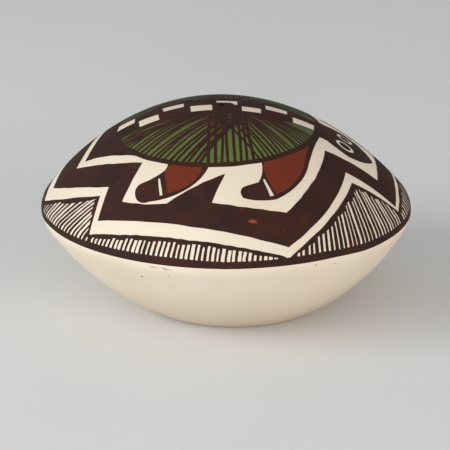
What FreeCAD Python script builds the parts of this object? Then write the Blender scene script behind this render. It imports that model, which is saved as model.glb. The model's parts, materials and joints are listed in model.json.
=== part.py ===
import FreeCAD, Part
import math
import os
import Sketcher

# A small coil-built seed pot: a flat-footed lower bowl, a low dome with a tiny mouth,
# a coat of pale slip on each and painted fields on the dome.
# Millimetres, Z up, origin at the middle of the foot, X along the painted turtle's
# spine towards its head, the front of the pot towards -Y.

doc = FreeCAD.newDocument("seed_pot")
sheet = doc.addObject("Spreadsheet::Sheet", "sizes")

SIZES = [
    # outside of the finished pot
    ("rim_radius", 45, "widest radius"),
    ("rim_height", 23.3, "height of the widest line above the table"),
    ("pot_height", 49, "top of the dome"),
    ("foot_radius", 22.2, "flat foot"),
    ("foot_round", 1.7, "round between foot and belly"),
    ("belly_radius", 60, "curve of the lower bowl"),
    ("shoulder_radius", 4.6, "tight curve at the widest line"),
    ("crown_radius", 49.6, "curve of the middle of the dome"),
    ("crown_angle", 26.7, "half angle of that curve"),
    # walls and coats
    ("wall", 3.2, "clay wall"),
    ("floor_thickness", 4.2, "clay under the hollow"),
    ("inner_foot_radius", 17, "flat of the hollow's floor"),
    ("inner_foot_round", 9, "round at the edge of that floor"),
    ("slip_thickness", 0.3, "coat of slip"),
    ("paint_thickness", 0.2, "paint over the slip"),
    ("seam_height", 20.5, "where the dome is luted to the bowl"),
    # mouth
    ("mouth_radius", 1.05, "mouth"),
    ("mouth_x", 0.4, "mouth from the pot's axis"),
    ("mouth_y", -1.7, "mouth from the pot's axis"),
    ("mouth_ring", 0.9, "dark paint kept round the mouth"),
    # painted design
    ("design_radius", 45, "rim radius that the design's corners are drawn for"),
    ("spine_y", -1.8, "mirror line of the design"),
    ("rim_line_above", 1.5, "dark rim line above the widest line"),
    ("rim_line_below", 0.25, "dark rim line below the widest line"),
    ("hatch_frame", 1.1, "dark edge of the hatched fields"),
    ("hatch_gap", 0.75, "pale gap between two hatch lines"),
    ("shell_x", -1.2, "middle of the turtle's shell"),
    ("shell_radius", 23.4, "green part of the shell"),
    ("shell_edge", 1.2, "dark edge round it"),
    ("dash_length", 5.3, "pale dash on the spine"),
    ("dash_width", 3.5, "pale dash on the spine"),
    ("dash_pitch", 12.3, "from one dash to the next in a row"),
    ("dash_start", -26, "first dash"),
    ("dash_step", 5.8, "the front row's lead on the back row"),
    ("spine_margin", 0.4, "dark paint outside the dashes"),
    ("stroke_width", 0.9, "brush stroke on the shell"),
    ("eye_x", 29.4, "eye along the spine"),
    ("eye_spacing", 6, "from eye to eye"),
    ("eye_radius", 2.05, "outside of an eye's ring"),
    ("pupil_radius", 1.3, "inside of an eye's ring"),
]
FORMULAS = [
    ("coat", "=slip_thickness + paint_thickness"),
    ("design_scale", "=rim_radius / design_radius"),
]


def fill_sheet():
    row = 1
    for alias, value, note in SIZES:
        sheet.set("A%d" % row, note)
        sheet.set("B%d" % row, str(value))
        sheet.setAlias("B%d" % row, alias)
        row += 1
    doc.recompute()
    for alias, formula in FORMULAS:
        sheet.set("A%d" % row, alias)
        sheet.set("B%d" % row, formula)
        sheet.setAlias("B%d" % row, alias)
        row += 1
    doc.recompute()


fill_sheet()


def size(alias):
    return float(getattr(sheet, alias))


def bind(thing, settings):
    for path, expression in settings.items():
        thing.setExpression(path, expression)


def origin_plane(body, role):
    for feature in body.Origin.OriginFeatures:
        if feature.Role == role:
            return feature
    raise RuntimeError("no plane " + role)


def new_sketch(body, name, role):
    sketch = body.newObject("Sketcher::SketchObject", name)
    sketch.AttachmentSupport = [(origin_plane(body, role), "")]
    sketch.MapMode = "FlatFace"
    return sketch


def limit(sketch, kind, where, expression):
    """Adds a dimension to a sketch and binds it to the sheet."""
    value = sketch_value(expression)
    index = sketch.addConstraint(Sketcher.Constraint(kind, *where, value))
    sketch.setExpression("Constraints[%d]" % index, expression)
    return index


def sketch_value(expression):
    """Number that a sheet expression has now, for a dimension's first value."""
    sheet.set("D1", "=" + expression.replace("sizes.", ""))
    sheet.recompute()
    return float(sheet.get("D1"))


# Form of the pot

OUTLINE_KEYS = ["rim", "rim_height", "top", "foot", "foot_height", "crown", "shoulder", "belly", "foot_round"]


def outline_values(inset):
    """The pot's profile, moved inwards by an expression."""
    return {
        "rim": "sizes.rim_radius - (%s)" % inset,
        "rim_height": "sizes.rim_height",
        "top": "sizes.pot_height - (%s)" % inset,
        "foot": "sizes.foot_radius",
        "foot_height": inset,
        "crown": "sizes.crown_radius - (%s)" % inset,
        "shoulder": "sizes.shoulder_radius - (%s)" % inset,
        "belly": "sizes.belly_radius - (%s)" % inset,
        "foot_round": "sizes.foot_round - (%s)" % inset,
    }


def hollow_values():
    """The hollow inside: one wall in from the clay's outside, with a rounder floor."""
    inset = "sizes.coat + sizes.wall"
    values = outline_values(inset)
    values["foot"] = "sizes.inner_foot_radius"
    values["foot_height"] = "sizes.floor_thickness"
    values["foot_round"] = "sizes.inner_foot_round"
    return values


def arc(centre, radius, start, end):
    circle = Part.Circle(FreeCAD.Vector(centre[0], centre[1], 0), FreeCAD.Vector(0, 0, 1), radius)
    return Part.ArcOfCircle(circle, start, end)


def angle_to(centre, point):
    return math.atan2(point[1] - centre[1], point[0] - centre[0])


def turned_body(name, values):
    """Solid of revolution whose profile is five arcs, each tangent to the next."""
    v = {key: sketch_value(values[key]) for key in OUTLINE_KEYS}
    lean = math.radians(size("crown_angle"))
    normal = (math.sin(lean), math.cos(lean))
    crown_centre = (0, v["top"] - v["crown"])
    joint = (v["crown"] * normal[0], crown_centre[1] + v["crown"] * normal[1])
    shoulder_centre = (v["rim"] - v["shoulder"], v["rim_height"])
    away = (joint[0] - shoulder_centre[0], joint[1] - shoulder_centre[1])
    flank = (away[0] ** 2 + away[1] ** 2 - v["shoulder"] ** 2) / (
        2 * (normal[0] * away[0] + normal[1] * away[1] - v["shoulder"]))
    flank_centre = (joint[0] - flank * normal[0], joint[1] - flank * normal[1])
    foot_centre = (v["foot"], v["foot_height"] + v["foot_round"])
    to_shoulder = v["belly"] - v["shoulder"]
    to_foot = v["belly"] - v["foot_round"]
    apart = math.dist(shoulder_centre, foot_centre)
    along = (to_shoulder ** 2 - to_foot ** 2 + apart ** 2) / (2 * apart)
    across = math.sqrt(to_shoulder ** 2 - along ** 2)
    unit = ((foot_centre[0] - shoulder_centre[0]) / apart, (foot_centre[1] - shoulder_centre[1]) / apart)
    belly_centre = (
        shoulder_centre[0] + along * unit[0] + across * unit[1],
        shoulder_centre[1] + along * unit[1] - across * unit[0],
    )
    flank_start = angle_to(flank_centre, shoulder_centre)
    belly_top = angle_to(belly_centre, shoulder_centre)
    belly_low = angle_to(belly_centre, foot_centre)

    body = doc.addObject("PartDesign::Body", name)
    sketch = new_sketch(body, name + "_profile", "XZ_Plane")
    crown_arc = sketch.addGeometry(arc(crown_centre, v["crown"], math.pi / 2 - lean, math.pi / 2))
    flank_arc = sketch.addGeometry(arc(flank_centre, flank, flank_start, math.pi / 2 - lean))
    shoulder_arc = sketch.addGeometry(arc(shoulder_centre, v["shoulder"], belly_top, flank_start))
    belly_arc = sketch.addGeometry(arc(belly_centre, v["belly"], belly_low, belly_top))
    foot_arc = sketch.addGeometry(arc(foot_centre, v["foot_round"], -math.pi / 2, belly_low))
    low = FreeCAD.Vector(0, v["foot_height"], 0)
    high = FreeCAD.Vector(0, v["top"], 0)
    edge = FreeCAD.Vector(v["foot"], v["foot_height"], 0)
    floor_line = sketch.addGeometry(Part.LineSegment(low, edge))
    axis_line = sketch.addGeometry(Part.LineSegment(high, low))

    chain = [crown_arc, flank_arc, shoulder_arc, belly_arc, foot_arc]
    for upper, lower in zip(chain, chain[1:]):
        sketch.addConstraint(Sketcher.Constraint("Tangent", upper, 1, lower, 2))
    sketch.addConstraint(Sketcher.Constraint("Tangent", foot_arc, 1, floor_line, 2))
    sketch.addConstraint(Sketcher.Constraint("Coincident", floor_line, 1, axis_line, 2))
    sketch.addConstraint(Sketcher.Constraint("Coincident", axis_line, 1, crown_arc, 2))
    sketch.addConstraint(Sketcher.Constraint("PointOnObject", axis_line, 1, -2))
    sketch.addConstraint(Sketcher.Constraint("PointOnObject", axis_line, 2, -2))
    sketch.addConstraint(Sketcher.Constraint("PointOnObject", crown_arc, 3, -2))
    sketch.addConstraint(Sketcher.Constraint("Horizontal", floor_line))
    limit(sketch, "DistanceY", (-1, 1, axis_line, 1), values["top"])
    limit(sketch, "DistanceY", (-1, 1, axis_line, 2), values["foot_height"])
    limit(sketch, "DistanceX", (-1, 1, floor_line, 2), values["foot"])
    limit(sketch, "Radius", (crown_arc,), values["crown"])
    limit(sketch, "DistanceX", (-1, 1, crown_arc, 1), "(%s) * sin(sizes.crown_angle * 1 deg)" % values["crown"])
    limit(sketch, "Radius", (shoulder_arc,), values["shoulder"])
    limit(sketch, "DistanceX", (-1, 1, shoulder_arc, 3), "(%s) - (%s)" % (values["rim"], values["shoulder"]))
    limit(sketch, "DistanceY", (-1, 1, shoulder_arc, 3), values["rim_height"])
    limit(sketch, "Radius", (belly_arc,), values["belly"])
    limit(sketch, "Radius", (foot_arc,), values["foot_round"])
    doc.recompute()

    turn = body.newObject("PartDesign::Revolution", name + "_turn")
    turn.Profile = sketch
    turn.ReferenceAxis = (sketch, ["V_Axis"])
    turn.Angle = 360
    return body


paint_form = turned_body("paint_form", outline_values("0"))
slip_form = turned_body("slip_form", outline_values("sizes.paint_thickness"))
clay_form = turned_body("clay_form", outline_values("sizes.coat"))
hollow_form = turned_body("hollow_form", hollow_values())


# Helpers for solids

def cut(name, base, tool):
    part = doc.addObject("Part::Cut", name)
    part.Base = base
    part.Tool = tool
    return part


def common(name, first, second):
    part = doc.addObject("Part::MultiCommon", name)
    part.Shapes = [first, second]
    return part


def fuse(name, parts):
    part = doc.addObject("Part::MultiFuse", name)
    part.Shapes = parts
    return part


def group(name, parts):
    part = doc.addObject("Part::Compound", name)
    part.Links = parts
    return part


def mirrored(name, source):
    part = doc.addObject("Part::Mirroring", name)
    part.Source = source
    part.Normal = FreeCAD.Vector(0, 1, 0)
    part.setExpression("Base.y", "sizes.spine_y * 1 mm")
    return part


def block(name, x, y, z, length, width, height):
    part = doc.addObject("Part::Box", name)
    bind(part, {
        "Length": length, "Width": width, "Height": height,
        ".Placement.Base.x": x, ".Placement.Base.y": y, ".Placement.Base.z": z,
    })
    return part


def rod(name, x, y, z, radius, height):
    part = doc.addObject("Part::Cylinder", name)
    bind(part, {
        "Radius": radius, "Height": height,
        ".Placement.Base.x": x, ".Placement.Base.y": y, ".Placement.Base.z": z,
    })
    return part


def level(name, low, high):
    """Slab across the whole pot between two heights."""
    reach = "(sizes.rim_radius * 2.4) * 1 mm"
    corner = "-sizes.rim_radius * 1.2 * 1 mm"
    return block(name, corner, corner, "(%s) * 1 mm" % low, reach, reach, "((%s) - (%s)) * 1 mm" % (high, low))


# Clay: lower bowl and dome, luted together at the seam

above_pot = "sizes.pot_height * 1.2"
foot_disc = rod("foot_disc", "0 mm", "0 mm", "0 mm", "sizes.foot_radius * 1 mm", "sizes.floor_thickness * 0.5 mm")
clay_solid = fuse("clay_solid", [clay_form, foot_disc])
clay_shell = cut("clay_shell", clay_solid, hollow_form)
slip_shell = cut("slip_shell", slip_form, clay_solid)
paint_shell = cut("paint_shell", paint_form, slip_form)

below_seam = level("below_seam", "-1", "sizes.seam_height")
above_seam = level("above_seam", "sizes.seam_height", above_pot)
mouth = rod("mouth", "sizes.mouth_x * 1 mm", "sizes.mouth_y * 1 mm", "sizes.rim_height * 1 mm",
            "sizes.mouth_radius * 1 mm", "sizes.pot_height * 1 mm")

nodes = {}
nodes["base_bowl"] = common("base_bowl", clay_shell, below_seam)
dome_clay = common("dome_clay", clay_shell, above_seam)
nodes["shoulder_dome"] = cut("shoulder_dome", dome_clay, mouth)
nodes["bowl_slip"] = common("bowl_slip", slip_shell, below_seam)
dome_coat = common("dome_coat", slip_shell, above_seam)
nodes["dome_slip"] = cut("dome_slip", dome_coat, mouth)


# Outlines seen from above: corners x, y and the rise of the curve to the next corner,
# in millimetres on a pot whose rim radius is design_radius. All run anticlockwise, and a
# curve with a negative rise swells outwards.

BAND_OUTSIDE = [
    (-41.4, -4.8, -1.6), (-26.6, -22.8, 0), (-29.3, -29.2, -3.6), (14.4, -40.8, -2.7),
    (28.8, -16.4, 0), (40.5, -14.3, -0.8), (40.3, 11.6, 0), (28.6, 13.8, -2.7),
    (14.4, 39.4, -3.6), (-28.6, 29.3, 0), (-25.2, 16.5, -1.2),
]
LINE_OUTSIDE = [
    (-43.6, -6.1, -1.6), (-28.7, -23.6, 0), (-31.4, -30.6, -4.2), (14.3, -42.4, -2.4),
    (30.1, -18.7, 0), (41.1, -15.0, -0.9), (41.0, 12.4, 0), (29.8, 16.0, -2.4),
    (14.3, 41.4, -4.2), (-31.0, 30.8, 0), (-27.3, 17.4, -1.2),
]
BAND_INSIDE = [
    (-35.2, -7.0, -1.2), (-18.5, -20.7, 0), (-23.4, -28.6, -0.6), (-12.9, -33.2, 0),
    (0.7, -28.3, 0), (-2.6, -34.7, -0.7), (14.3, -34.7, -2.0), (24.3, -12.4, 0),
    (36.6, -10.1, -0.4), (36.5, 7.6, 0), (24.2, 9.6, -2.0), (14.3, 33.0, -0.7),
    (-2.6, 33.4, 0), (0.7, 26.8, 0), (-12.9, 31.6, -0.6), (-23.0, 27.0, 0),
    (-18.0, 17.6, -1.2),
]
TAIL = [(-33.0, -7.0, -0.4), (-12.2, -23.8, 0), (-6.0, -12.0, 0), (-6.0, 8.0, 0), (-12.2, 20.2, -0.8)]
HIND_LEG = [
    (-9.0, -22.5, 0), (-12.2, -23.8, 0), (-12.9, -25.0, 0.5), (-18.5, -26.5, -0.6),
    (-20.3, -28.3, -1.0), (-16.9, -31.5, -0.7), (-8.2, -31.1, -0.8), (-2.8, -26.4, 0),
    (-4.0, -22.5, 0),
]
HIND_SKIN = [
    (-9.5, -23.4, 0), (-11.6, -24.3, -0.3), (-13.3, -26.4, 0), (-12.6, -31.1, -0.4),
    (-6.9, -29.8, -0.4), (-4.4, -26.0, 0), (-4.6, -24.0, 0),
]
HIND_DASH = [(-14.8, -26.9, 0), (-14.5, -31.1, 0), (-13.8, -31.1, 0), (-14.4, -26.9, 0)]
FORE_LEG = [
    (8.0, -22.0, 0), (9.1, -24.2, 0.6), (8.3, -29.5, 0), (5.3, -30.9, -0.8),
    (4.6, -33.5, -0.7), (12.5, -32.2, -1.6), (20.3, -19.5, 0), (23.2, -7.4, 0),
    (20.0, -7.4, 0),
]
FORE_SKIN = [
    (8.4, -22.4, 0), (9.5, -25.0, -0.5), (12.3, -31.4, -1.7), (19.4, -18.9, 0),
    (20.8, -12.0, 0), (18.5, -12.0, 0),
]
FORE_DASH = [(9.2, -28.6, 0), (10.8, -32.2, 0), (11.8, -31.8, 0), (9.6, -28.4, 0)]
HEAD = [
    (21.5, -7.3, 0), (25.0, -7.1, -0.3), (30.0, -9.0, -1.2), (36.0, -1.8, -1.2),
    (30.0, 5.4, -0.3), (25.0, 3.5, 0), (21.5, 3.7, 0),
]

# Hatched fields: the polar angles between which each lies, those of its first and last
# gap, the number of gaps, and the gaps' direction at the start, middle and end.
HATCHED_FIELDS = {
    "hatching_front_left": (188, 224.3, 192, 222, 13, (-15, -8, 20)),
    "hatching_front": (224.3, 288.7, 226.5, 284, 34, (36, 62, 82)),
    "hatching_front_right": (288.7, 339.9, 294, 337, 21, (68, 108, 130)),
    "hatching_head_side": (339.9, 376.8, 344, 373, 9, (160, 180, 200)),
    "hatching_back_right": (16.8, 70.9, 22, 66, 21, (-130, -108, -68)),
    "hatching_back": (70.9, 135.2, 76, 133, 34, (-82, -62, -36)),
    "hatching_back_left": (135.2, 188, 139, 184, 19, (-20, -2, 15)),
}
# Fans of strokes on the near half of the shell: how far along the spine each fan's
# centre lies from the shell's middle, the polar angles of its first and last stroke,
# and the number of strokes.
STROKE_FANS = [(4.0, 196, 251, 13), (3.0, 259, 283, 7), (-4.0, 294, 340, 10)]
STROKE_START = 6.0


def scaled(value):
    return "sizes.design_scale * %s" % value


def draw_outline(sketch, corners):
    """Closed outline in a sketch: each corner placed, each curved run a tied arc."""
    ends = []
    for index, (x, y, rise) in enumerate(corners):
        next_x, next_y, _ = corners[(index + 1) % len(corners)]
        start = FreeCAD.Vector(x, y, 0) * size("design_scale")
        end = FreeCAD.Vector(next_x, next_y, 0) * size("design_scale")
        if rise == 0:
            edge = sketch.addGeometry(Part.LineSegment(start, end))
            ends.append((edge, 1, 2))
            continue
        chord = end - start
        side = FreeCAD.Vector(-chord.y, chord.x, 0).normalize()
        middle = (start + end) * 0.5 + side * (rise * size("design_scale"))
        if rise < 0:
            edge = sketch.addGeometry(Part.ArcOfCircle(start, middle, end))
            ends.append((edge, 1, 2))
        else:
            edge = sketch.addGeometry(Part.ArcOfCircle(end, middle, start))
            ends.append((edge, 2, 1))
        radius = math.hypot(next_x - x, next_y - y) ** 2 / (8 * abs(rise)) + abs(rise) / 2
        limit(sketch, "Radius", (edge,), scaled("%.4f" % radius))
    for index, (x, y, rise) in enumerate(corners):
        edge, first, _ = ends[index]
        before, _, last = ends[index - 1]
        sketch.addConstraint(Sketcher.Constraint("Coincident", before, last, edge, first))
        limit(sketch, "DistanceX", (-1, 1, edge, first), scaled(x))
        limit(sketch, "DistanceY", (-1, 1, edge, first), scaled(y))


def prism(name, corners):
    """Upright prism through the whole pot over an outline."""
    body = doc.addObject("PartDesign::Body", name)
    sketch = new_sketch(body, name + "_outline", "XY_Plane")
    draw_outline(sketch, corners)
    pad = body.newObject("PartDesign::Pad", name + "_pad")
    pad.Profile = sketch
    pad.setExpression("Length", "%s * 1 mm" % above_pot)
    return body


def design_length(expression):
    return "(%s) * sizes.design_scale * 1 mm" % expression


def design_rod(name, x, y, radius):
    return rod(name, design_length(x), design_length(y), "0 mm", design_length(radius), above_pot + " * 1 mm")


def bar(name, x, y, direction, length, width):
    """Upright bar seen from above as a strip of some length centred on its start."""
    angle = math.radians(direction)
    part = block(
        name,
        design_length("%s + (%s) * %.6f" % (x, width, 0.5 * math.sin(angle))),
        design_length("%s - (%s) * %.6f" % (y, width, 0.5 * math.cos(angle))),
        "0 mm", design_length(length), design_length(width), above_pot + " * 1 mm",
    )
    part.Placement.Rotation = FreeCAD.Rotation(FreeCAD.Vector(0, 0, 1), direction)
    return part


def wedge(name, first, last):
    """Prism over the sector of the pot between two polar angles."""
    reach = 1.5
    body = doc.addObject("PartDesign::Body", name)
    sketch = new_sketch(body, name + "_outline", "XY_Plane")
    corners = [(0, 0, 0)]
    for step in range(4):
        angle = math.radians(first + (last - first) * step / 3)
        corners.append((
            round(reach * size("design_radius") * math.cos(angle), 4),
            round(reach * size("design_radius") * math.sin(angle), 4), 0))
    draw_outline(sketch, corners)
    pad = body.newObject("PartDesign::Pad", name + "_pad")
    pad.Profile = sketch
    pad.setExpression("Length", "%s * 1 mm" % above_pot)
    return body


def between(first, middle, last, share):
    """Runs from first over middle to last as share runs from 0 to 1."""
    if share < 0.5:
        return first + (middle - first) * 2 * share
    return middle + (last - middle) * (2 * share - 1)


# Painted fields on the dome

dome_paint = common("dome_paint", paint_shell, level(
    "dome_levels", "sizes.rim_height + sizes.rim_line_above", above_pot))
nodes["rim_line"] = common("rim_line", paint_shell, level(
    "rim_levels", "sizes.rim_height - sizes.rim_line_below", "sizes.rim_height + sizes.rim_line_above"))

band_outside = prism("band_outside", BAND_OUTSIDE)
line_outside = prism("line_outside", LINE_OUTSIDE)
band_inside = prism("band_inside", BAND_INSIDE)
nodes["lightning_band"] = cut("lightning_band", common("band_field", dome_paint, band_outside), band_inside)

frame_outline = doc.addObject("Part::Offset2D", "frame_outline")
frame_outline.Source = doc.getObject("line_outside_outline")
frame_outline.Join = 2
frame_outline.setExpression("Value", design_length("sizes.hatch_frame"))
frame_prism = doc.addObject("Part::Extrusion", "frame_prism")
frame_prism.Base = frame_outline
frame_prism.DirMode = "Custom"
frame_prism.Dir = FreeCAD.Vector(0, 0, 1)
frame_prism.Solid = True
frame_prism.setExpression("LengthFwd", above_pot + " * 1 mm")
hatched_ground = cut("hatched_ground", dome_paint, line_outside)


def hatching(name, low, high, first, last, count, directions):
    """Dark field outside the pale line, with pale gaps left between fine dark lines."""
    gaps = []
    for index in range(count):
        share = index / (count - 1)
        angle = math.radians(first + (last - first) * share)
        direction = between(*directions, share)
        x = "sizes.design_radius * %.6f" % (0.98 * math.cos(angle))
        y = "sizes.design_radius * %.6f" % (0.98 * math.sin(angle))
        inward = math.radians(direction)
        back = 4.0
        gaps.append(bar(
            "%s_gap_%d" % (name, index + 1),
            "%s - %.6f" % (x, back * math.cos(inward)),
            "%s - %.6f" % (y, back * math.sin(inward)),
            direction, "16 + %s" % back, "sizes.hatch_gap"))
    windows = cut(name + "_windows", group(name + "_gaps", gaps), frame_prism)
    field = common(name + "_field", hatched_ground, wedge(name + "_sector", low, high))
    return cut(name, field, windows)


for field_name, field in HATCHED_FIELDS.items():
    nodes[field_name] = hatching(field_name, *field)

# Turtle: tail end, shell, legs, head

shell_disc = design_rod("shell_disc", "sizes.shell_x", "sizes.spine_y", "sizes.shell_radius")
shell_rim = design_rod("shell_rim", "sizes.shell_x", "sizes.spine_y", "sizes.shell_radius + sizes.shell_edge")
mouth_surround = design_rod("mouth_surround", "sizes.mouth_x", "sizes.mouth_y", "sizes.mouth_radius + sizes.mouth_ring")


def open_mouth(name, part):
    return cut(name, part, mouth)


dashes = []
for number in range(4):
    for row, lead in (("back", "0"), ("front", "sizes.dash_step")):
        place = "sizes.dash_start + sizes.dash_pitch * %d + %s" % (number, lead)
        low_edge = "sizes.spine_y" if row == "back" else "sizes.spine_y - sizes.dash_width"
        dashes.append(block(
            "%s_dash_%d" % (row, number + 1), design_length(place), design_length(low_edge), "0 mm",
            design_length("sizes.dash_length"), design_length("sizes.dash_width"), above_pot + " * 1 mm"))
dash_windows = cut("dash_windows", group("dashes", dashes), mouth_surround)

half_spine = "(sizes.dash_width + sizes.spine_margin)"
spine_field = block(
    "spine_field", design_length("sizes.shell_x - sizes.shell_radius - sizes.shell_edge"),
    design_length("sizes.spine_y - %s" % half_spine), "0 mm",
    design_length("(sizes.shell_radius + sizes.shell_edge) * 2"), design_length("%s * 2" % half_spine),
    above_pot + " * 1 mm")

strokes = []
for fan, (lead, first, last, count) in enumerate(STROKE_FANS):
    for number in range(count):
        direction = first + (last - first) * number / (count - 1)
        angle = math.radians(direction)
        stroke = bar(
            "stroke_%d_%d" % (fan + 1, number + 1),
            "sizes.shell_x + %.4f" % (lead + STROKE_START * math.cos(angle)),
            "sizes.spine_y + %.4f" % (STROKE_START * math.sin(angle)),
            direction, "sizes.shell_radius", "sizes.stroke_width")
        strokes.append(stroke)
near_dark = fuse("near_dark", [spine_field] + strokes)
far_dark = mirrored("far_dark", near_dark)

shell_paint = common("shell_paint", dome_paint, shell_disc)
nodes["shell_green"] = cut("shell_green", cut("green_near", shell_paint, near_dark), far_dark)
shell_marks = fuse("shell_marks", [near_dark, far_dark])
shell_dark = cut("shell_dark", common("shell_dark_field", shell_paint, shell_marks), dash_windows)
nodes["shell_strokes"] = open_mouth("shell_strokes", shell_dark)

edge_ring = cut("edge_ring", shell_rim, shell_disc)
nodes["shell_outline"] = common("shell_outline", dome_paint, edge_ring)
nodes["tail"] = cut("tail", common("tail_field", dome_paint, prism("tail_prism", TAIL)), shell_rim)

head_prism = prism("head_prism", HEAD)
head_solid = cut("head_solid", common("head_field", dome_paint, head_prism), shell_rim)
eyes = []
for side in (-1, 1):
    height = "sizes.spine_y + sizes.eye_spacing * %s" % (0.5 * side)
    outside = design_rod("eye_outside_%d" % (side + 2), "sizes.eye_x", height, "sizes.eye_radius")
    pupil = design_rod("pupil_%d" % (side + 2), "sizes.eye_x", height, "sizes.pupil_radius")
    eyes.append(cut("eye_ring_%d" % (side + 2), outside, pupil))
nodes["head"] = cut("head", head_solid, group("eye_rings", eyes))


def leg(place, leg_corners, skin_corners, dash_corners):
    """Near and far leg: red skin inside a dark outline and foot, with one pale dash."""
    leg_prism = prism(place + "_leg_prism", leg_corners)
    skin_prism = prism(place + "_skin_prism", skin_corners)
    dash_prism = prism(place + "_dash_prism", dash_corners)
    bare = cut(place + "_leg_bare", leg_prism, shell_rim)
    skin = common(place + "_skin_shape", bare, skin_prism)
    foot = cut(place + "_foot_shape", cut(place + "_foot_solid", bare, skin_prism), dash_prism)
    for side in ("near", "far"):
        shapes = {"skin": skin, "foot": foot}
        for kind, shape in shapes.items():
            name = "%s_%s_%s" % (place, kind, side)
            if side == "far":
                shape = mirrored(name + "_shape", shape)
            nodes[name] = common(name, dome_paint, shape)


leg("hind", HIND_LEG, HIND_SKIN, HIND_DASH)
leg("fore", FORE_LEG, FORE_SKIN, FORE_DASH)

doc.recompute()


# Checks and files

for thing in doc.Objects:
    if "Invalid" in thing.State or "Error" in thing.State:
        raise RuntimeError("failed: " + thing.Name)

os.makedirs("parts", exist_ok=True)
for name, node in nodes.items():
    shape = node.Shape
    if shape.isNull() or not shape.isValid() or not shape.Solids:
        raise RuntimeError("bad shape: " + name)
    node.Label = name
    shape.exportStep("parts/%s.step" % name)
    print(name, len(shape.Solids), round(shape.Volume, 2))
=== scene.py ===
import json
import math
import random

import bmesh
import bpy
from bpy.props import FloatProperty, FloatVectorProperty, IntProperty, PointerProperty
from mathutils import Matrix, Vector
from mathutils.geometry import intersect_line_line_2d

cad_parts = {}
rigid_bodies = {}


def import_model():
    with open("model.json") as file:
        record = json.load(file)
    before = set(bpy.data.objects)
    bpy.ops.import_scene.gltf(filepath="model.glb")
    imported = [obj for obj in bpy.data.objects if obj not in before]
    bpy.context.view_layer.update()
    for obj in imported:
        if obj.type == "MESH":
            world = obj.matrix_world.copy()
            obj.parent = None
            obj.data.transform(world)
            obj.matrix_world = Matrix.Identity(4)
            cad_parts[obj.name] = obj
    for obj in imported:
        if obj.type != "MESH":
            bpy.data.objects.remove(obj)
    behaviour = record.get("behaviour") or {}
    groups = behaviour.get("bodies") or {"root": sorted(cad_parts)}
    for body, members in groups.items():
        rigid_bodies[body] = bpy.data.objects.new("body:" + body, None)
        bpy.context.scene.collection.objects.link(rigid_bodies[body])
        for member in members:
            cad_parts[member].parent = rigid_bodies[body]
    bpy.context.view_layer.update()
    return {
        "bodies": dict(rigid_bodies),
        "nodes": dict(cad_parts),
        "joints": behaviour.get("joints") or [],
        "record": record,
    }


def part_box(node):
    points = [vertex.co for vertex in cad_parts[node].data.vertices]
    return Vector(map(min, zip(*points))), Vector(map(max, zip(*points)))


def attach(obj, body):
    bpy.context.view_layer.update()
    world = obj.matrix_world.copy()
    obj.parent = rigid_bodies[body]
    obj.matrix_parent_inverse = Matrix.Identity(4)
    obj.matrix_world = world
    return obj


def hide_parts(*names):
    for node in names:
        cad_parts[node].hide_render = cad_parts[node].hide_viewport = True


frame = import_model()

bl_info = {
    "name": "Painted Seed Pot",
    "version": (1, 0, 0),
    "blender": (4, 5, 0),
    "location": "3D View > Sidebar > Seed Pot",
    "description": "Builds a small seed pot with a painted turtle, zigzag band and hatching",
    "category": "Object",
}

MM = 0.001

# Sizes read from the frame

rim_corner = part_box("rim_line")[1]
dome_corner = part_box("shell_strokes")[1]
seam_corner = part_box("base_bowl")[1]


class SeedPotForm(bpy.types.PropertyGroup):
    """Form of the pot, in metres"""
    rim_radius: FloatProperty(
        name="Rim radius", description="Widest radius", default=rim_corner.x, unit="LENGTH")
    rim_height: FloatProperty(
        name="Rim height", description="Height of the widest line", default=23.3 * MM, unit="LENGTH")
    pot_height: FloatProperty(
        name="Height", description="Top of the dome", default=dome_corner.z, unit="LENGTH")
    foot_radius: FloatProperty(
        name="Foot radius", description="Flat foot", default=22.2 * MM, unit="LENGTH")
    foot_round: FloatProperty(
        name="Foot round", description="Round between foot and belly", default=1.7 * MM, unit="LENGTH")
    belly_radius: FloatProperty(
        name="Belly curve", description="Curve of the lower bowl", default=60 * MM, unit="LENGTH")
    shoulder_radius: FloatProperty(
        name="Shoulder curve", description="Tight curve at the rim", default=4.6 * MM, unit="LENGTH")
    crown_radius: FloatProperty(
        name="Crown curve", description="Curve of the top of the dome", default=49.6 * MM, unit="LENGTH")
    crown_angle: FloatProperty(
        name="Crown angle",
        description="Half angle of the crown", default=math.radians(26.7), subtype="ANGLE")
    wall: FloatProperty(name="Wall", description="Clay wall", default=3.2 * MM, unit="LENGTH")
    floor: FloatProperty(
        name="Floor", description="Clay under the hollow", default=4.2 * MM, unit="LENGTH")
    coat: FloatProperty(
        name="Coat", description="Slip and paint together", default=0.5 * MM, unit="LENGTH")
    slip_depth: FloatProperty(
        name="Slip depth",
        description="Slip surface below the thickest paint", default=0.06 * MM, unit="LENGTH")
    mouth_radius: FloatProperty(
        name="Mouth radius", description="Mouth", default=1.05 * MM, unit="LENGTH")
    mouth_x: FloatProperty(
        name="Mouth x", description="Mouth along the spine", default=0.4 * MM, unit="LENGTH")
    mouth_y: FloatProperty(
        name="Mouth y", description="Mouth off the axis", default=-1.7 * MM, unit="LENGTH")
    lip_round: FloatProperty(
        name="Lip", description="Worn round of the lip", default=0.12 * MM, unit="LENGTH")
    lean_above: FloatProperty(name="Lean above", description="Sideways lean of the dome", default=0.054)
    lean_below: FloatProperty(name="Lean below", description="Sideways lean of the bowl", default=0.078)
    unevenness: FloatProperty(
        name="Unevenness", description="Hand-made waviness, share of the size", default=0.004)
    segments: IntProperty(name="Segments", description="Steps round the pot", default=256)


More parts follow.
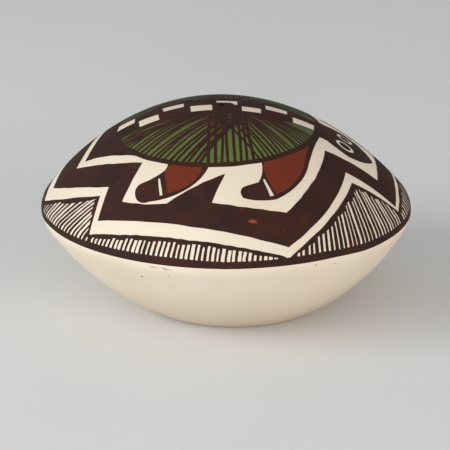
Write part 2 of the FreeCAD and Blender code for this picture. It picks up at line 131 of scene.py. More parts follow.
class SeedPotPaint(bpy.types.PropertyGroup):
    """Colours and brushwork"""
    slip: FloatVectorProperty(
        name="Slip", description="Pale slip", subtype="COLOR", default=(0.75, 0.66, 0.545))
    # Colour near the foot: partly the slip's own warmer tone, partly painted shade under the bowl
    low_slip_and_shade: FloatVectorProperty(
        name="Low slip and shade", description="Slip near the foot, with painted shade", subtype="COLOR", default=(0.55, 0.46, 0.33))
    dark: FloatVectorProperty(
        name="Dark", description="Dark brown", subtype="COLOR", default=(0.029, 0.0128, 0.0105))
    rust: FloatVectorProperty(
        name="Thin dark",
        description="Dark paint where it is thin", subtype="COLOR", default=(0.13, 0.028, 0.012))
    green: FloatVectorProperty(
        name="Green", description="Olive green", subtype="COLOR", default=(0.104, 0.142, 0.036))
    red: FloatVectorProperty(
        name="Red", description="Red-brown", subtype="COLOR", default=(0.148, 0.026, 0.0105))
    clay: FloatVectorProperty(
        name="Clay", description="Bare clay", subtype="COLOR", default=(0.50, 0.41, 0.30))
    wobble: FloatProperty(
        name="Wobble", description="Waver of the brush", default=0.06 * MM, unit="LENGTH")
    seed: IntProperty(name="Seed", description="Seed of the brushwork", default=7)


class SeedPotStage(bpy.types.PropertyGroup):
    """Camera, floor and lamps"""
    elevation: FloatProperty(
        name="Elevation",
        description="Camera above the horizon", default=math.radians(19.05), subtype="ANGLE")
    distance: FloatProperty(
        name="Distance", description="Camera to rim", default=540 * MM, unit="LENGTH")
    lens: FloatProperty(name="Lens", description="Focal length in millimetres", default=177.4)
    aim_right: FloatProperty(name="Aim right", description="Aim right of the rim", default=-0.27 * MM)
    aim_up: FloatProperty(name="Aim up", description="Aim above the rim", default=-5.19 * MM)
    left_power: FloatProperty(
        name="Left lamp", description="Power of the main lamp", default=9.1, unit="POWER")
    right_power: FloatProperty(
        name="Right lamp", description="Power of the warm lamp", default=6.2, unit="POWER")
    front_power: FloatProperty(
        name="Front lamp", description="Power of the low lamp", default=2.4, unit="POWER")
    sky: FloatProperty(name="Sky", description="Strength of the even light", default=0.49)
    floor: FloatVectorProperty(
        name="Floor", description="Floor colour", subtype="COLOR", default=(0.72, 0.72, 0.72))


def form():
    return bpy.context.scene.seed_pot_form


def paint():
    return bpy.context.scene.seed_pot_paint


def setting():
    return bpy.context.scene.seed_pot_stage


# Profile of the pot: five arcs, each tangent to the next

# Height over which the pot's lean changes at the rim
SOFT_BEND = 2 * MM
# How deep the underside of a paint film lies in the slip
FILM_ROOT = 0.06 * MM


def profile_arcs(inset):
    """Centre, radius, upper and lower angle of each arc, from the apex down, moved inwards by inset."""
    f = form()
    crown = Vector((0, f.pot_height - f.crown_radius))
    normal = Vector((math.sin(f.crown_angle), math.cos(f.crown_angle)))
    joint = crown + normal * f.crown_radius
    shoulder = Vector((f.rim_radius - f.shoulder_radius, f.rim_height))
    away = joint - shoulder
    overlap = normal.dot(away) - f.shoulder_radius
    flank_radius = (away.length_squared - f.shoulder_radius ** 2) / (2 * overlap)
    flank = joint - normal * flank_radius
    foot = Vector((f.foot_radius, f.foot_round))
    to_shoulder = f.belly_radius - f.shoulder_radius
    to_foot = f.belly_radius - f.foot_round
    down = foot - shoulder
    along = (to_shoulder ** 2 - to_foot ** 2 + down.length_squared) / (2 * down.length)
    across = math.sqrt(to_shoulder ** 2 - along ** 2)
    unit = down.normalized()
    belly = shoulder + unit * along + Vector((unit.y, -unit.x)) * across
    flank_low = math.atan2(shoulder.y - flank.y, shoulder.x - flank.x)
    belly_high = math.atan2(shoulder.y - belly.y, shoulder.x - belly.x)
    belly_low = math.atan2(foot.y - belly.y, foot.x - belly.x)
    crown_low = math.pi / 2 - f.crown_angle
    return [
        (crown, f.crown_radius - inset, math.pi / 2, crown_low),
        (flank, flank_radius - inset, crown_low, flank_low),
        (shoulder, f.shoulder_radius - inset, flank_low, belly_high),
        (belly, f.belly_radius - inset, belly_high, belly_low),
        (foot, f.foot_round - inset, belly_low, -math.pi / 2),
    ]


def profile(inset, step=0.8 * MM):
    """Points (radius, height) of the profile from the apex to the foot."""
    points = []
    for centre, radius, high, low in profile_arcs(inset):
        count = max(2, round(radius * (high - low) / min(step, radius * 0.16)))
        for index in range(count):
            angle = high + (low - high) * index / count
            points.append((centre.x + radius * math.cos(angle), centre.y + radius * math.sin(angle)))
    centre, radius, high, low = profile_arcs(inset)[-1]
    points.append((centre.x, centre.y - radius))
    points[0] = (0.0, points[0][1])
    return points


def dome_arc(radius, arcs):
    """Centre and radius of the arc of the dome this far from the axis."""
    for centre, curve, _, low in arcs[:2]:
        if radius < centre.x + curve * math.cos(low):
            return centre, curve
    return arcs[2][:2]


def dome_height(radius, inset):
    centre, curve = dome_arc(radius, profile_arcs(inset))
    return centre.y + math.sqrt(curve ** 2 - (radius - centre.x) ** 2)


def lean_slope(rise):
    """Sideways lean for each unit of height, this far above the rim; it changes softly there."""
    f = form()
    middle = (f.lean_above + f.lean_below) / 2
    half = (f.lean_below - f.lean_above) / 2
    return -middle + half * rise / math.hypot(rise, SOFT_BEND)


def hand_formed(point):
    """Where a point of the even form lies on the hand-made pot: slightly wavy and leaning."""
    f = form()
    rise = point.z - f.rim_height
    turn = math.atan2(point.y, point.x)
    level = point.z / f.pot_height
    wave = (
        math.sin(2 * turn + 0.7 + 1.5 * level) + 0.6 * math.sin(3 * turn + 2.1 - 2.6 * level)
        + 0.35 * math.sin(5 * turn + 4.0 + 4.0 * level) + 0.25 * math.sin(9 * level + turn))
    squeeze = 1 - f.unevenness * (0.5 + 0.23 * wave)
    middle = (f.lean_above + f.lean_below) / 2
    half = (f.lean_below - f.lean_above) / 2
    lean = -middle * rise + half * (math.hypot(rise, SOFT_BEND) - SOFT_BEND)
    return Vector((point.x * squeeze + lean, point.y * squeeze, point.z))


# Meshes

def finish_piece(name, mesh, material, nodes):
    mesh.materials.clear()
    mesh.materials.append(material)
    piece = bpy.data.objects.new(name, mesh)
    bpy.context.scene.collection.objects.link(piece)
    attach(piece, "root")
    if nodes:
        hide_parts(*nodes)
    return piece


def as_mesh(bm, name):
    mesh = bpy.data.meshes.new(name)
    bm.to_mesh(mesh)
    bm.free()
    return mesh


def only(kind, items):
    return [item for item in items if isinstance(item, kind)]


def turn_round(bm, geometry, steps):
    """Spins geometry a full turn: a quarter is spun, then doubled twice, and its seams merged."""
    bmesh.ops.spin(
        bm, geom=geometry, cent=(0, 0, 0), axis=(0, 0, 1), angle=math.pi / 2,
        steps=steps // 4, use_merge=False, use_duplicate=False)
    for turn in (math.pi / 2, math.pi):
        copied = bmesh.ops.duplicate(bm, geom=bm.verts[:] + bm.edges[:] + bm.faces[:])["geom"]
        bmesh.ops.rotate(
            bm, verts=only(bmesh.types.BMVert, copied), cent=(0, 0, 0),
            matrix=Matrix.Rotation(turn, 3, "Z"))
    bmesh.ops.remove_doubles(bm, verts=bm.verts, dist=1e-7)


def spun_mesh(name, points, closed=True, steps=None):
    """Mesh turned from a profile of (radius, height) points."""
    bm = bmesh.new()
    ring = [bm.verts.new((radius, 0, height)) for radius, height in points]
    edges = [bm.edges.new(pair) for pair in zip(ring, ring[1:])]
    if closed:
        edges.append(bm.edges.new((ring[-1], ring[0])))
    turn_round(bm, ring + edges, steps or form().segments)
    bmesh.ops.dissolve_degenerate(bm, dist=1e-8, edges=bm.edges)
    bmesh.ops.recalc_face_normals(bm, faces=bm.faces)
    return as_mesh(bm, name)


def without_mouth(mesh):
    """The mesh with the mouth cut through it, its lip worn round."""
    f = form()
    top = dome_height(math.hypot(f.mouth_x, f.mouth_y), f.slip_depth)
    steps = [(0, f.rim_height), (f.mouth_radius, f.rim_height), (f.mouth_radius, top - 2 * f.lip_round)]
    for index in range(1, 6):
        angle = math.pi / 2 * index / 5
        steps.append((
            f.mouth_radius + 1.4 * f.lip_round * (1 - math.cos(angle)),
            top - 2 * f.lip_round + 2 * f.lip_round * math.sin(angle)))
    steps += [(steps[-1][0] + 0.2 * MM, top + 1 * MM), (0, top + 1 * MM)]
    cutter_mesh = spun_mesh("mouth_cutter", steps, closed=False, steps=48)
    cutter_mesh.transform(Matrix.Translation((f.mouth_x, f.mouth_y, 0)))
    cutter = bpy.data.objects.new("mouth_cutter", cutter_mesh)
    body = bpy.data.objects.new("uncut", mesh)
    for thing in (cutter, body):
        bpy.context.scene.collection.objects.link(thing)
    drill = body.modifiers.new("mouth", "BOOLEAN")
    drill.operation = "DIFFERENCE"
    drill.solver = "EXACT"
    drill.object = cutter
    bpy.context.view_layer.update()
    cut = bpy.data.meshes.new_from_object(body.evaluated_get(bpy.context.evaluated_depsgraph_get()))
    for thing in (cutter, body):
        bpy.data.objects.remove(thing)
    return cut


def form_by_hand(mesh, sharp=math.radians(40)):
    """Gives a mesh the pot's waviness and lean, and smooth shading outside its sharp edges."""
    for vertex in mesh.vertices:
        vertex.co = hand_formed(vertex.co)
    mesh.shade_smooth()
    mesh.set_sharp_from_angle(angle=sharp)
    mesh.update()
    return mesh


def on_dome(x, y, arcs):
    """Place and normal of the hand-made dome's surface above a point."""
    radius = max(math.hypot(x, y), 1e-9)
    centre, curve = dome_arc(radius, arcs)
    reach = min(radius - centre.x, curve)
    height = math.sqrt(curve ** 2 - reach ** 2)
    outward = reach / curve / radius
    place = Vector((x, y, centre.y + height))
    normal = Vector((x * outward, y * outward, height / curve))
    normal.z -= lean_slope(place.z - form().rim_height) * normal.x
    return hand_formed(place), normal.normalized()


# Cell size of a paint film, then (distance from the axis, longest edge beyond it)
GRID = 1.0 * MM
STEEP_ZONES = (
    (42.4 * MM, 0.4 * MM), (43.2 * MM, 0.4 * MM), (44.0 * MM, 0.3 * MM), (44.4 * MM, 0.2 * MM),
)


def filled(loops):
    """Flat mesh of small cells over the even-odd area of closed outlines seen from above, in metres."""
    bm = bmesh.new()
    for loop in loops:
        corners = [bm.verts.new((x, y, 0)) for x, y in loop]
        for first, second in zip(corners, corners[1:] + corners[:1]):
            bm.edges.new((first, second))
    bmesh.ops.triangle_fill(bm, use_beauty=False, use_dissolve=False, edges=bm.edges, normal=(0, 0, 1))
    for axis in (0, 1):
        values = [v.co[axis] for v in bm.verts]
        cut = math.ceil(min(values) / GRID) * GRID
        while cut < max(values):
            place = [0, 0, 0]
            facing = [0, 0, 0]
            place[axis] = cut
            facing[axis] = 1
            bmesh.ops.bisect_plane(
                bm, geom=bm.verts[:] + bm.edges[:] + bm.faces[:], dist=1e-8,
                plane_co=place, plane_no=facing)
            cut += GRID
    for zone, longest in STEEP_ZONES:
        steep = [
            edge for edge in bm.edges
            if max(v.co.length for v in edge.verts) > zone and edge.calc_length() > longest]
        if steep:
            bmesh.ops.subdivide_edges(bm, edges=steep, cuts=1, use_grid_fill=False)
    bmesh.ops.triangulate(bm, faces=bm.faces)
    return bm


def face_outwards(bm):
    """Turns the faces of a flat film lifted to height 1 outwards, each side wall with its top face."""
    bmesh.ops.recalc_face_normals(bm, faces=bm.faces)
    wrong = set()
    for face in bm.faces:
        levels = {round(vertex.co.z) for vertex in face.verts}
        if len(levels) == 1 and face.normal.z * (levels.pop() - 0.5) < 0:
            wrong.add(face)
    walls = {
        other for face in wrong for edge in face.edges for other in edge.link_faces
        if abs(other.normal.z) < 0.5}
    bmesh.ops.reverse_faces(bm, faces=list(wrong | walls))


def paint_film(name, *layers):
    """Thin closed paint on the dome. Each layer is its outlines and its lift above the slip.

    The filled outlines are thickened by extrusion and laid on the dome's surface.
    """
    f = form()
    under = profile_arcs(f.slip_depth + FILM_ROOT)
    whole = bmesh.new()
    normals = []
    for loops, lift in layers:
        over = profile_arcs(f.slip_depth - lift)
        bm = filled(loops)
        grown = bmesh.ops.extrude_face_region(bm, geom=bm.faces[:], use_keep_orig=True)
        for vertex in only(bmesh.types.BMVert, grown["geom"]):
            vertex.co.z = 1
        face_outwards(bm)
        for vertex in bm.verts:
            x, y, level = vertex.co
            vertex.co, normal = on_dome(x, y, over if level > 0.5 else under)
            normals.append(normal)
        layer = as_mesh(bm, "layer")
        whole.from_mesh(layer)
        bpy.data.meshes.remove(layer)
    mesh = as_mesh(whole, name)
    mesh.shade_smooth()
    mesh.normals_split_custom_set_from_vertices(normals)
    return mesh


def painted(name, material, node, slot, *layers):
    """Finished piece of paint that stands for one node."""
    return finish_piece(name, paint_film(name, *layers), material, [node])


# Outlines

def curved(corners, closed=True):
    """Outline in metres from corners (x, y, rise of the curve to the next corner) in millimetres."""
    points = []
    for index, (x, y, rise) in enumerate(corners if closed else corners[:-1]):
        start = Vector((x, y))
        end = Vector(corners[(index + 1) % len(corners)][:2])
        chord = end - start
        side = Vector((-chord.y, chord.x)).normalized()
        count = max(1, round(chord.length / 0.5))
        for step in range(count):
            share = step / count
            swell = 0.0
            if rise:
                radius = chord.length ** 2 / (8 * abs(rise)) + abs(rise) / 2
                offset = (share - 0.5) * chord.length
                swell = math.copysign(
                    math.sqrt(max(radius ** 2 - offset ** 2, 0)) - (radius - abs(rise)), rise)
                if abs(rise) > chord.length / 2:
                    swell = rise * math.sin(math.pi * share)
            points.append((start + chord * share + side * swell) * MM)
    return points if closed else points + [Vector(corners[-1][:2]) * MM]


def brushed(points, chance, waver=1.0):
    """An outline as a brush leaves it: each point moved a little along smooth waves."""
    amount = paint().wobble * waver
    waves = [
        (chance.uniform(2.5, 16) * MM, chance.uniform(0, 6.28), chance.uniform(0.3, 1)) for _ in range(5)]
    moved = []
    travelled = 0.0
    for index, point in enumerate(points):
        before = points[index - 1]
        after = points[(index + 1) % len(points)]
        travelled += (point - before).length
        along = (after - before).normalized()
        shift = sum(
            size * math.sin(6.283 * travelled / length + phase) for length, phase, size in waves) / 2
        moved.append(point + Vector((-along.y, along.x)) * amount * shift)
    return moved


def circle(x, y, radius, count=96):
    """Round outline, in millimetres."""
    return [
        Vector((x + radius * math.cos(6.2832 * i / count), y + radius * math.sin(6.2832 * i / count))) * MM
        for i in range(count)]


def shell_edge(extra, count=180):
    """Edge of the shell in millimetres, a little fuller on the far side, moved out by extra."""
    points = []
    for i in range(count):
        turn = 2 * math.pi * i / count
        far = min(1.0, max(0.0, 4 * math.sin(turn)))
        radius = SHELL_RADIUS + extra + far * (1.0 - 0.2 * math.cos(turn))
        points.append(Vector((SHELL_X + radius * math.cos(turn), SPINE_Y + radius * math.sin(turn))) * MM)
    return points


def on_shell(corners, radius):
    """Outline with its first and last corners moved onto a circle about the shell, closed along it."""
    middle = Vector((SHELL_X, SPINE_Y))
    first, last = (
        middle + (Vector(corner[:2]) - middle).normalized() * radius for corner in (corners[0], corners[-1]))
    rise = radius - math.sqrt(radius ** 2 - ((first - last).length / 2) ** 2)
    return [(*first, corners[0][2])] + corners[1:-1] + [(*last, rise)]


def mirrored(corners):
    """Corners mirrored across the turtle's spine, in the same sense of turn."""
    count = len(corners)
    return [
        (corners[count - 1 - i][0], 2 * SPINE_Y - corners[count - 1 - i][1], corners[count - 2 - i][2])
        for i in range(count)]


# Painted design: corners x, y and the rise of the curve to the next corner, in
# millimetres seen from above, with the turtle's spine along x.

SPINE_Y = -1.8
SHELL_X = -1.2
SHELL_RADIUS = 23.6
RING_WIDTH = 1.1
RIM_LINE_INSIDE = 44.93

# Heights of the rim line's edges above the widest line, along the surface in
# millimetres, at every 15 degrees from the left end round the front.
RIM_UPPER = [
    1.3, 1.3, 1.4, 1.7, 1.9, 2.0, 1.6, 1.75, 1.85, 1.25, 1.1, 1.05, 1.05,
    1.1, 1.2, 1.4, 1.6, 1.8, 1.7, 1.6, 1.7, 1.8, 1.6, 1.4, 1.3,
]
RIM_LOWER = [
    -0.15, -0.17, 0.2, 0.12, 0.08, 0.08, -0.1, 0.06, 0.13, -0.43, -0.5, -0.51, -0.52,
    -0.45, -0.3, -0.15, 0.0, 0.05, 0.0, -0.1, 0.0, 0.05, -0.05, -0.1, -0.15,
]

BAND_OUTSIDE = [
    (-41.4, -4.8, -1.6), (-26.6, -22.8, 0), (-29.3, -29.2, -3.6), (14.4, -40.8, -2.7),
    (28.8, -16.4, 0), (40.5, -14.3, -0.8), (40.3, 11.6, 0), (28.6, 13.8, -2.7),
    (14.4, 39.4, -3.6), (-28.6, 29.3, 0), (-27.4, 20.6, 0), (-36.0, 15.6, -0.4),
]
LINE_OUTSIDE = [
    (-43.6, -6.1, -1.6), (-28.7, -23.6, 0), (-31.4, -30.6, -4.2), (14.3, -42.4, -2.4),
    (30.1, -18.7, 0), (41.1, -15.0, -0.9), (41.0, 12.4, 0), (29.8, 16.0, -2.4),
    (14.3, 41.4, -4.2), (-31.0, 30.8, 0), (-29.6, 22.4, 0), (-38.0, 17.4, -1.0),
]
BAND_INSIDE = [
    (-35.2, -7.0, -1.2), (-18.5, -20.7, 0), (-23.4, -28.6, -0.6), (-12.9, -33.2, 0),
    (0.7, -28.3, 0), (-2.6, -34.7, -0.7), (14.3, -34.7, -2.0), (24.3, -12.4, 0),
    (36.6, -10.1, -0.4), (36.5, 7.6, 0), (24.2, 9.6, -2.0), (14.3, 33.0, -0.7),
    (-2.6, 33.4, 0), (0.7, 26.8, 0), (-12.9, 31.6, -0.6), (-23.0, 27.0, 0),
    (-20.4, 18.6, 0), (-30.0, 13.6, 0.7),
]
TAIL = [(-12.2, 19.9, -0.4), (-28.4, 12.4, 0.6), (-33.0, -7.0, -0.4), (-12.2, -23.5, 0)]
HIND_LEG = [
    (-12.2, -23.1, 0), (-12.9, -25.0, 0.5), (-18.5, -26.5, -0.6), (-20.3, -28.3, -1.0),
    (-16.9, -31.5, -0.7), (-8.2, -31.1, -0.8), (-2.8, -25.8, 0.5),
]
HIND_SKIN = [
    (-11.4, -23.5, -0.3), (-13.3, -26.4, 0), (-12.6, -31.1, -0.4), (-6.9, -29.8, -0.4),
    (-4.2, -25.6, 0.3),
]
HIND_DASH = [(-14.8, -26.9, 0), (-14.5, -31.1, 0), (-13.8, -31.1, 0), (-14.4, -26.9, 0)]
FORE_LEG = [
    (9.0, -23.5, 0.6), (8.3, -29.5, 0), (5.3, -30.9, -0.8),
    (4.6, -33.5, -0.7), (12.5, -32.2, -1.6), (20.3, -19.5, 0), (23.3, -7.2, 0),
    (22.2, -7.2, 2.4),
]
FORE_SKIN = [
    (9.7, -23.3, 0), (9.5, -25.0, -0.5), (12.3, -31.4, -1.7), (19.4, -18.9, 0),
    (21.0, -12.4, 1.3),
]
FORE_DASH = [(9.3, -28.6, 0), (10.8, -32.2, 0), (11.7, -31.8, 0), (9.7, -28.4, 0)]
HEAD = [
    (22.2, -7.3, 0), (25.0, -7.1, -0.3), (30.0, -9.0, -1.2), (36.0, -1.8, -1.2),
    (30.0, 5.4, -0.3), (25.0, 3.5, 0), (22.2, 3.7, 0.6),
]
EYES = [(29.4, -4.25, 2.05), (29.6, 1.2, 1.85)]
SPINE_BAND = [
    (-25.1, -6.3, 0), (-14.0, -6.7, 0), (-9.0, -8.2, 0), (-4.0, -7.4, 0), (6.0, -7.0, 0),
    (11.0, -8.0, 0), (16.8, -5.9, 0), (22.6, -5.3, -0.3), (22.6, 1.8, 0), (16.8, 3.0, 0),
    (9.0, 3.8, 0), (-3.0, 4.0, 0), (-14.0, 3.5, 0), (-25.2, 2.7, -0.35),
]
SPINE_NEAR = [(22.4, -5.15), (17.2, -5.7), (-24.7, -6.15)]
SPINE_FAR = [(-25.0, 2.4), (-14.0, 2.5), (16.8, 2.1), (22.6, 1.65)]
DASHES = [
    [(-19.4, -6.0), (-14.6, -5.8), (-15.0, -2.0), (-19.8, -1.95)],
    [(-7.0, -5.3), (-1.9, -5.2), (-2.0, -1.6), (-7.3, -1.4)],
    [(5.2, -5.2), (9.7, -5.0), (9.7, -2.1), (5.1, -2.2)],
    [(17.2, -5.5), (22.1, -4.9), (22.3, -1.5), (17.2, -1.9)],
    [(-25.2, -1.6), (-20.8, -1.7), (-20.9, 2.0), (-24.8, 2.0)],
    [(-13.7, -1.3), (-8.8, -1.1), (-8.8, 1.8), (-14.1, 1.8)],
    [(-0.9, 0.0), (2.6, 0.0), (3.4, -1.5), (4.1, -1.5), (4.1, 1.5), (-1.1, 1.5)],
    [(10.9, -1.6), (15.9, -1.4), (16.0, 1.5), (10.7, 1.6)],
]

# Strokes on the near half of the shell: polar angles of the first and last, number,
# directions and longest reach at even steps between them, and width.
STROKE_FANS = [
    (191.5, 204, 6, (2, 4, 9), (13, 16), 0.66),
    (207, 261, 16, (21, 29, 33, 38, 42, 48, 53, 56), (18, 22, 22, 20, 18.5, 18), 0.75),
    (265.4, 291.8, 8, (87, 90, 95), (20, 20), 0.70),
    (295, 343, 17, (123, 124, 129, 139, 150, 165), (17, 18, 19, 18, 15, 9), 0.63),
    (199, 207, 3, (12, 17), (22, 20), 0.55),
]

# Hatched fields: node, the corners of the line outside that bound it, polar angles of
# its first and last gap, number of gaps, their directions at even steps, width of a gap.
HATCHED_FIELDS = [
    ("hatching_front_left", 0, 2, 191.5, 223.5, 18, (-2, -7, -9, 1, 18), 0.60),
    ("hatching_front", 2, 3, 224.5, 284.5, 40, (28, 52, 65, 74, 70), 0.62),
    ("hatching_front_right", 3, 5, 291.5, 337, 27, (82, 92, 99, 109, 118, 127, 145), 0.45),
    ("hatching_head_side", 5, 6, 341, 375, 17, (150, 165, 180, 195, 205), 0.55),
    ("hatching_back_right", 6, 8, 19, 67, 27, (-145, -127, -118, -109, -99, -92, -82), 0.50),
    ("hatching_back", 8, 9, 74, 134, 40, (-70, -74, -65, -52, -28), 0.62),
    ("hatching_back_left", 9, 12, 137, 184, 25, (-24, -30, -28, -10, 2), 0.60),
]
RIM_GAP_START = 44.86
# Where the dark frame at a gap's inner end starts to widen
FRAME_START = 44.9
# Least distance of a gap from another gap and from its field's edge, and its least length
GAP_ROOM = 0.22 * MM
EDGE_ROOM = 0.05 * MM
SHORTEST_GAP = 0.15 * MM
# Edges farther from a gap's first point than this can't cross it
GAP_REACH = 16 * MM


def crossing(start, direction, outline):
    """Distance from start along direction to a closed outline, and the sine of their angle."""
    nearest = None
    for first, second in zip(outline, outline[1:] + outline[:1]):
        edge = second - first
        across = direction.x * edge.y - direction.y * edge.x
        if abs(across) < 1e-12:
            continue
        gap = first - start
        distance = (gap.x * edge.y - gap.y * edge.x) / across
        share = (gap.x * direction.y - gap.y * direction.x) / across
        if 0 <= share <= 1 and distance > 0 and (nearest is None or distance < nearest[0]):
            nearest = (distance, abs(across) / edge.length)
    return nearest


def clear_of(points, others, room):
    """Whether every point keeps this much room from other outlines' points."""
    return all(
        (point - other).length > room for point in points for outline in others for other in outline)


def crossed(outline, others, reach):
    """Whether a closed outline crosses another; only edges within reach of its start are tried."""
    edges = list(zip(outline, outline[1:] + outline[:1]))
    for other in others:
        for first, second in zip(other, other[1:] + other[:1]):
            if (first - outline[0]).length < reach:
                if any(intersect_line_line_2d(start, end, first, second) for start, end in edges):
                    return True
    return False


def along_values(values, share):
    """Value a share of the way along evenly spaced values."""
    place = share * (len(values) - 1)
    index = min(int(place), len(values) - 2)
    return values[index] + (values[index + 1] - values[index]) * (place - index)


def sliver(start, end, widths, chance):
    """Slim brush shape between two points, as wide along it as the widths say."""
    along = end - start
    side = Vector((-along.y, along.x)).normalized()
    bend = side * chance.uniform(-0.02, 0.02) * along.length
    count = max(3, round(along.length / (0.6 * MM)))
    left, right = [], []
    for step in range(count + 1):
        share = step / count
        width = along_values(widths, share) * chance.uniform(0.9, 1.1)
        middle = start + along * share + bend * math.sin(math.pi * share)
        left.append(middle + side * width / 2)
        right.append(middle - side * width / 2)
    ends_out = along.normalized() * 0.12 * MM
    return [start - ends_out] + right + [end + ends_out] + left[::-1]


# Shader node groups

def new_group(name, inputs, outputs):
    group = bpy.data.node_groups.new(name, "ShaderNodeTree")
    for title, kind, default in inputs:
        socket = group.interface.new_socket(title, in_out="INPUT", socket_type=kind)
        if default is not None:
            socket.default_value = default
    for title, kind in outputs:
        group.interface.new_socket(title, in_out="OUTPUT", socket_type=kind)
    entry = group.nodes.new("NodeGroupInput")
    leave = group.nodes.new("NodeGroupOutput")
    return group, entry, leave


def add_node(tree, kind, settings=None, **inputs):
    node = tree.nodes.new(kind)
    for key, value in (settings or {}).items():
        setattr(node, key, value)
    for key, value in inputs.items():
        socket = node.inputs[int(key[1:])] if key[0] == "i" and key[1:].isdigit() else node.inputs[key]
        if isinstance(value, bpy.types.NodeSocket):
            tree.links.new(value, socket)
        else:
            socket.default_value = value
    return node


def object_point(tree, stretch=(1, 1, 1)):
    coordinates = add_node(tree, "ShaderNodeTexCoord").outputs["Object"]
    return add_node(tree, "ShaderNodeMapping", Vector=coordinates, Scale=stretch).outputs[0]


def math_node(tree, operation, *values):
    inputs = {"i%d" % index: value for index, value in enumerate(values)}
    return add_node(tree, "ShaderNodeMath", {"operation": operation}, **inputs).outputs[0]


def times(tree, first, second):
    return math_node(tree, "MULTIPLY", first, second)


def vector_node(tree, operation, *values):
    inputs = {"i%d" % index: value for index, value in enumerate(values)}
    return add_node(tree, "ShaderNodeVectorMath", {"operation": operation}, **inputs)


def ramp(tree, value, low, high, start, end, shape="LINEAR"):
    """Value led from start at low to end at high, and held beyond them."""
    settings = {"clamp": True, "interpolation_type": shape}
    return add_node(
        tree, "ShaderNodeMapRange", settings, Value=value, i1=low, i2=high, i3=start, i4=end).outputs[0]


def noise_mask(tree, vector, scale, detail, low, high, roughness=0.55):
    """Noise turned into a mask that runs from 0 at low to 1 at high."""
    noise = add_node(
        tree, "ShaderNodeTexNoise", Vector=vector, Scale=scale, Detail=detail, Roughness=roughness)
    return ramp(tree, noise.outputs["Fac"], low, high, 0.0, 1.0)


def mixed(tree, factor, first, second, how="MIX"):
    mix = add_node(tree, "ShaderNodeMix", {"data_type": "RGBA", "blend_type": how})
    for socket, value in ((mix.inputs[0], factor), (mix.inputs[6], first), (mix.inputs[7], second)):
        if isinstance(value, bpy.types.NodeSocket):
            tree.links.new(value, socket)
        elif socket.type == "RGBA":
            socket.default_value = (*value[:3], 1)
        else:
            socket.default_value = value
    return mix.outputs[2]


def kiln_group():
    """Firing: broad soft patches, fine grain and sparse dark specks."""
    group, entry, leave = new_group(
        "kiln mottling",
        [("Color", "NodeSocketColor", None), ("Patches", "NodeSocketFloat", 0.12),
         ("Grain", "NodeSocketFloat", 0.08), ("Specks", "NodeSocketFloat", 0.5)],
        [("Color", "NodeSocketColor"), ("Pits", "NodeSocketFloat")])
    vector = object_point(group)
    patches = noise_mask(group, vector, 45, 3, 0.3, 0.7)
    grain = noise_mask(group, vector, 2600, 2, 0.3, 0.7)
    spots = add_node(group, "ShaderNodeTexVoronoi", Vector=vector, Scale=420)
    speck = ramp(group, spots.outputs["Distance"], 0.05, 0.12, 1.0, 0.0)
    sparse = noise_mask(group, vector, 260, 2, 0.62, 0.7)
    pit = times(group, speck, sparse)
    darker = mixed(group, 1.0, entry.outputs["Color"], (0.80, 0.74, 0.64), "MULTIPLY")
    color = mixed(group, times(group, patches, entry.outputs["Patches"]), entry.outputs["Color"], darker)
    color = mixed(group, times(group, grain, entry.outputs["Grain"]), color, darker)
    color = mixed(group, times(group, pit, entry.outputs["Specks"]), color, (0.16, 0.10, 0.06))
    group.links.new(color, leave.inputs["Color"])
    group.links.new(pit, leave.inputs["Pits"])
    return group


def burnish_group():
    """Stone burnishing: faint level strokes round the pot, as a height and as a gloss."""
    group, entry, leave = new_group(
        "burnish strokes", [("Scale", "NodeSocketFloat", 1.0)],
        [("Height", "NodeSocketFloat"), ("Gloss", "NodeSocketFloat")])
    vector = object_point(group, (60, 60, 900))
    scaled = vector_node(group, "SCALE", vector)
    group.links.new(entry.outputs["Scale"], scaled.inputs["Scale"])
    strokes = noise_mask(group, scaled.outputs[0], 1.0, 3, 0.25, 0.75)
    broad = noise_mask(group, object_point(group), 90, 2, 0.25, 0.75)
    height = math_node(group, "MULTIPLY_ADD", broad, 0.8, strokes)
    group.links.new(height, leave.inputs["Height"])
    group.links.new(strokes, leave.inputs["Gloss"])
    return group


def brush_group():
    """Brushed mineral paint: cloudy thickness, fine dry streaks and thin worn spots."""
    group, entry, leave = new_group(
        "brushed paint",
        [("Full", "NodeSocketColor", None), ("Thin", "NodeSocketColor", None),
         ("Thinness", "NodeSocketFloat", 0.3), ("Spots", "NodeSocketFloat", 0.3)],
        [("Color", "NodeSocketColor"), ("Thickness", "NodeSocketFloat")])
    vector = object_point(group)
    cloudy = noise_mask(group, vector, 120, 4, 0.42, 0.75, 0.65)
    streaks = noise_mask(group, object_point(group, (500, 2200, 900)), 1.0, 2, 0.45, 0.8)
    spots = noise_mask(group, vector, 420, 2, 0.66, 0.74)
    amount = times(group, cloudy, entry.outputs["Thinness"])
    color = mixed(group, amount, entry.outputs["Full"], entry.outputs["Thin"])
    color = mixed(group, times(group, streaks, amount), color, entry.outputs["Thin"])
    color = mixed(group, times(group, spots, entry.outputs["Spots"]), color, entry.outputs["Thin"])
    group.links.new(color, leave.inputs["Color"])
    group.links.new(cloudy, leave.inputs["Thickness"])
    return group


def place_group(tree, name, maker, values):
    """Places a shared group, made at its first use."""
    node = tree.nodes.new("ShaderNodeGroup")
    node.node_tree = bpy.data.node_groups.get(name) or maker()
    for key, value in values.items():
        if isinstance(value, bpy.types.NodeSocket):
            tree.links.new(value, node.inputs[key])
        elif isinstance(value, float):
            node.inputs[key].default_value = value
        else:
            node.inputs[key].default_value = (*value[:3], 1)
    return node


def new_material(name, roughness, specular=0.35):
    """A material with its tree and shader, or with None for both if it is made already."""
    material = bpy.data.materials.get(name)
    if material:
        return material, None, None
    material = bpy.data.materials.new(name)
    material.use_nodes = True
    tree = material.node_tree
    shader = tree.nodes["Principled BSDF"]
    shader.inputs["Roughness"].default_value = roughness
    shader.inputs["Specular IOR Level"].default_value = specular
    return material, tree, shader


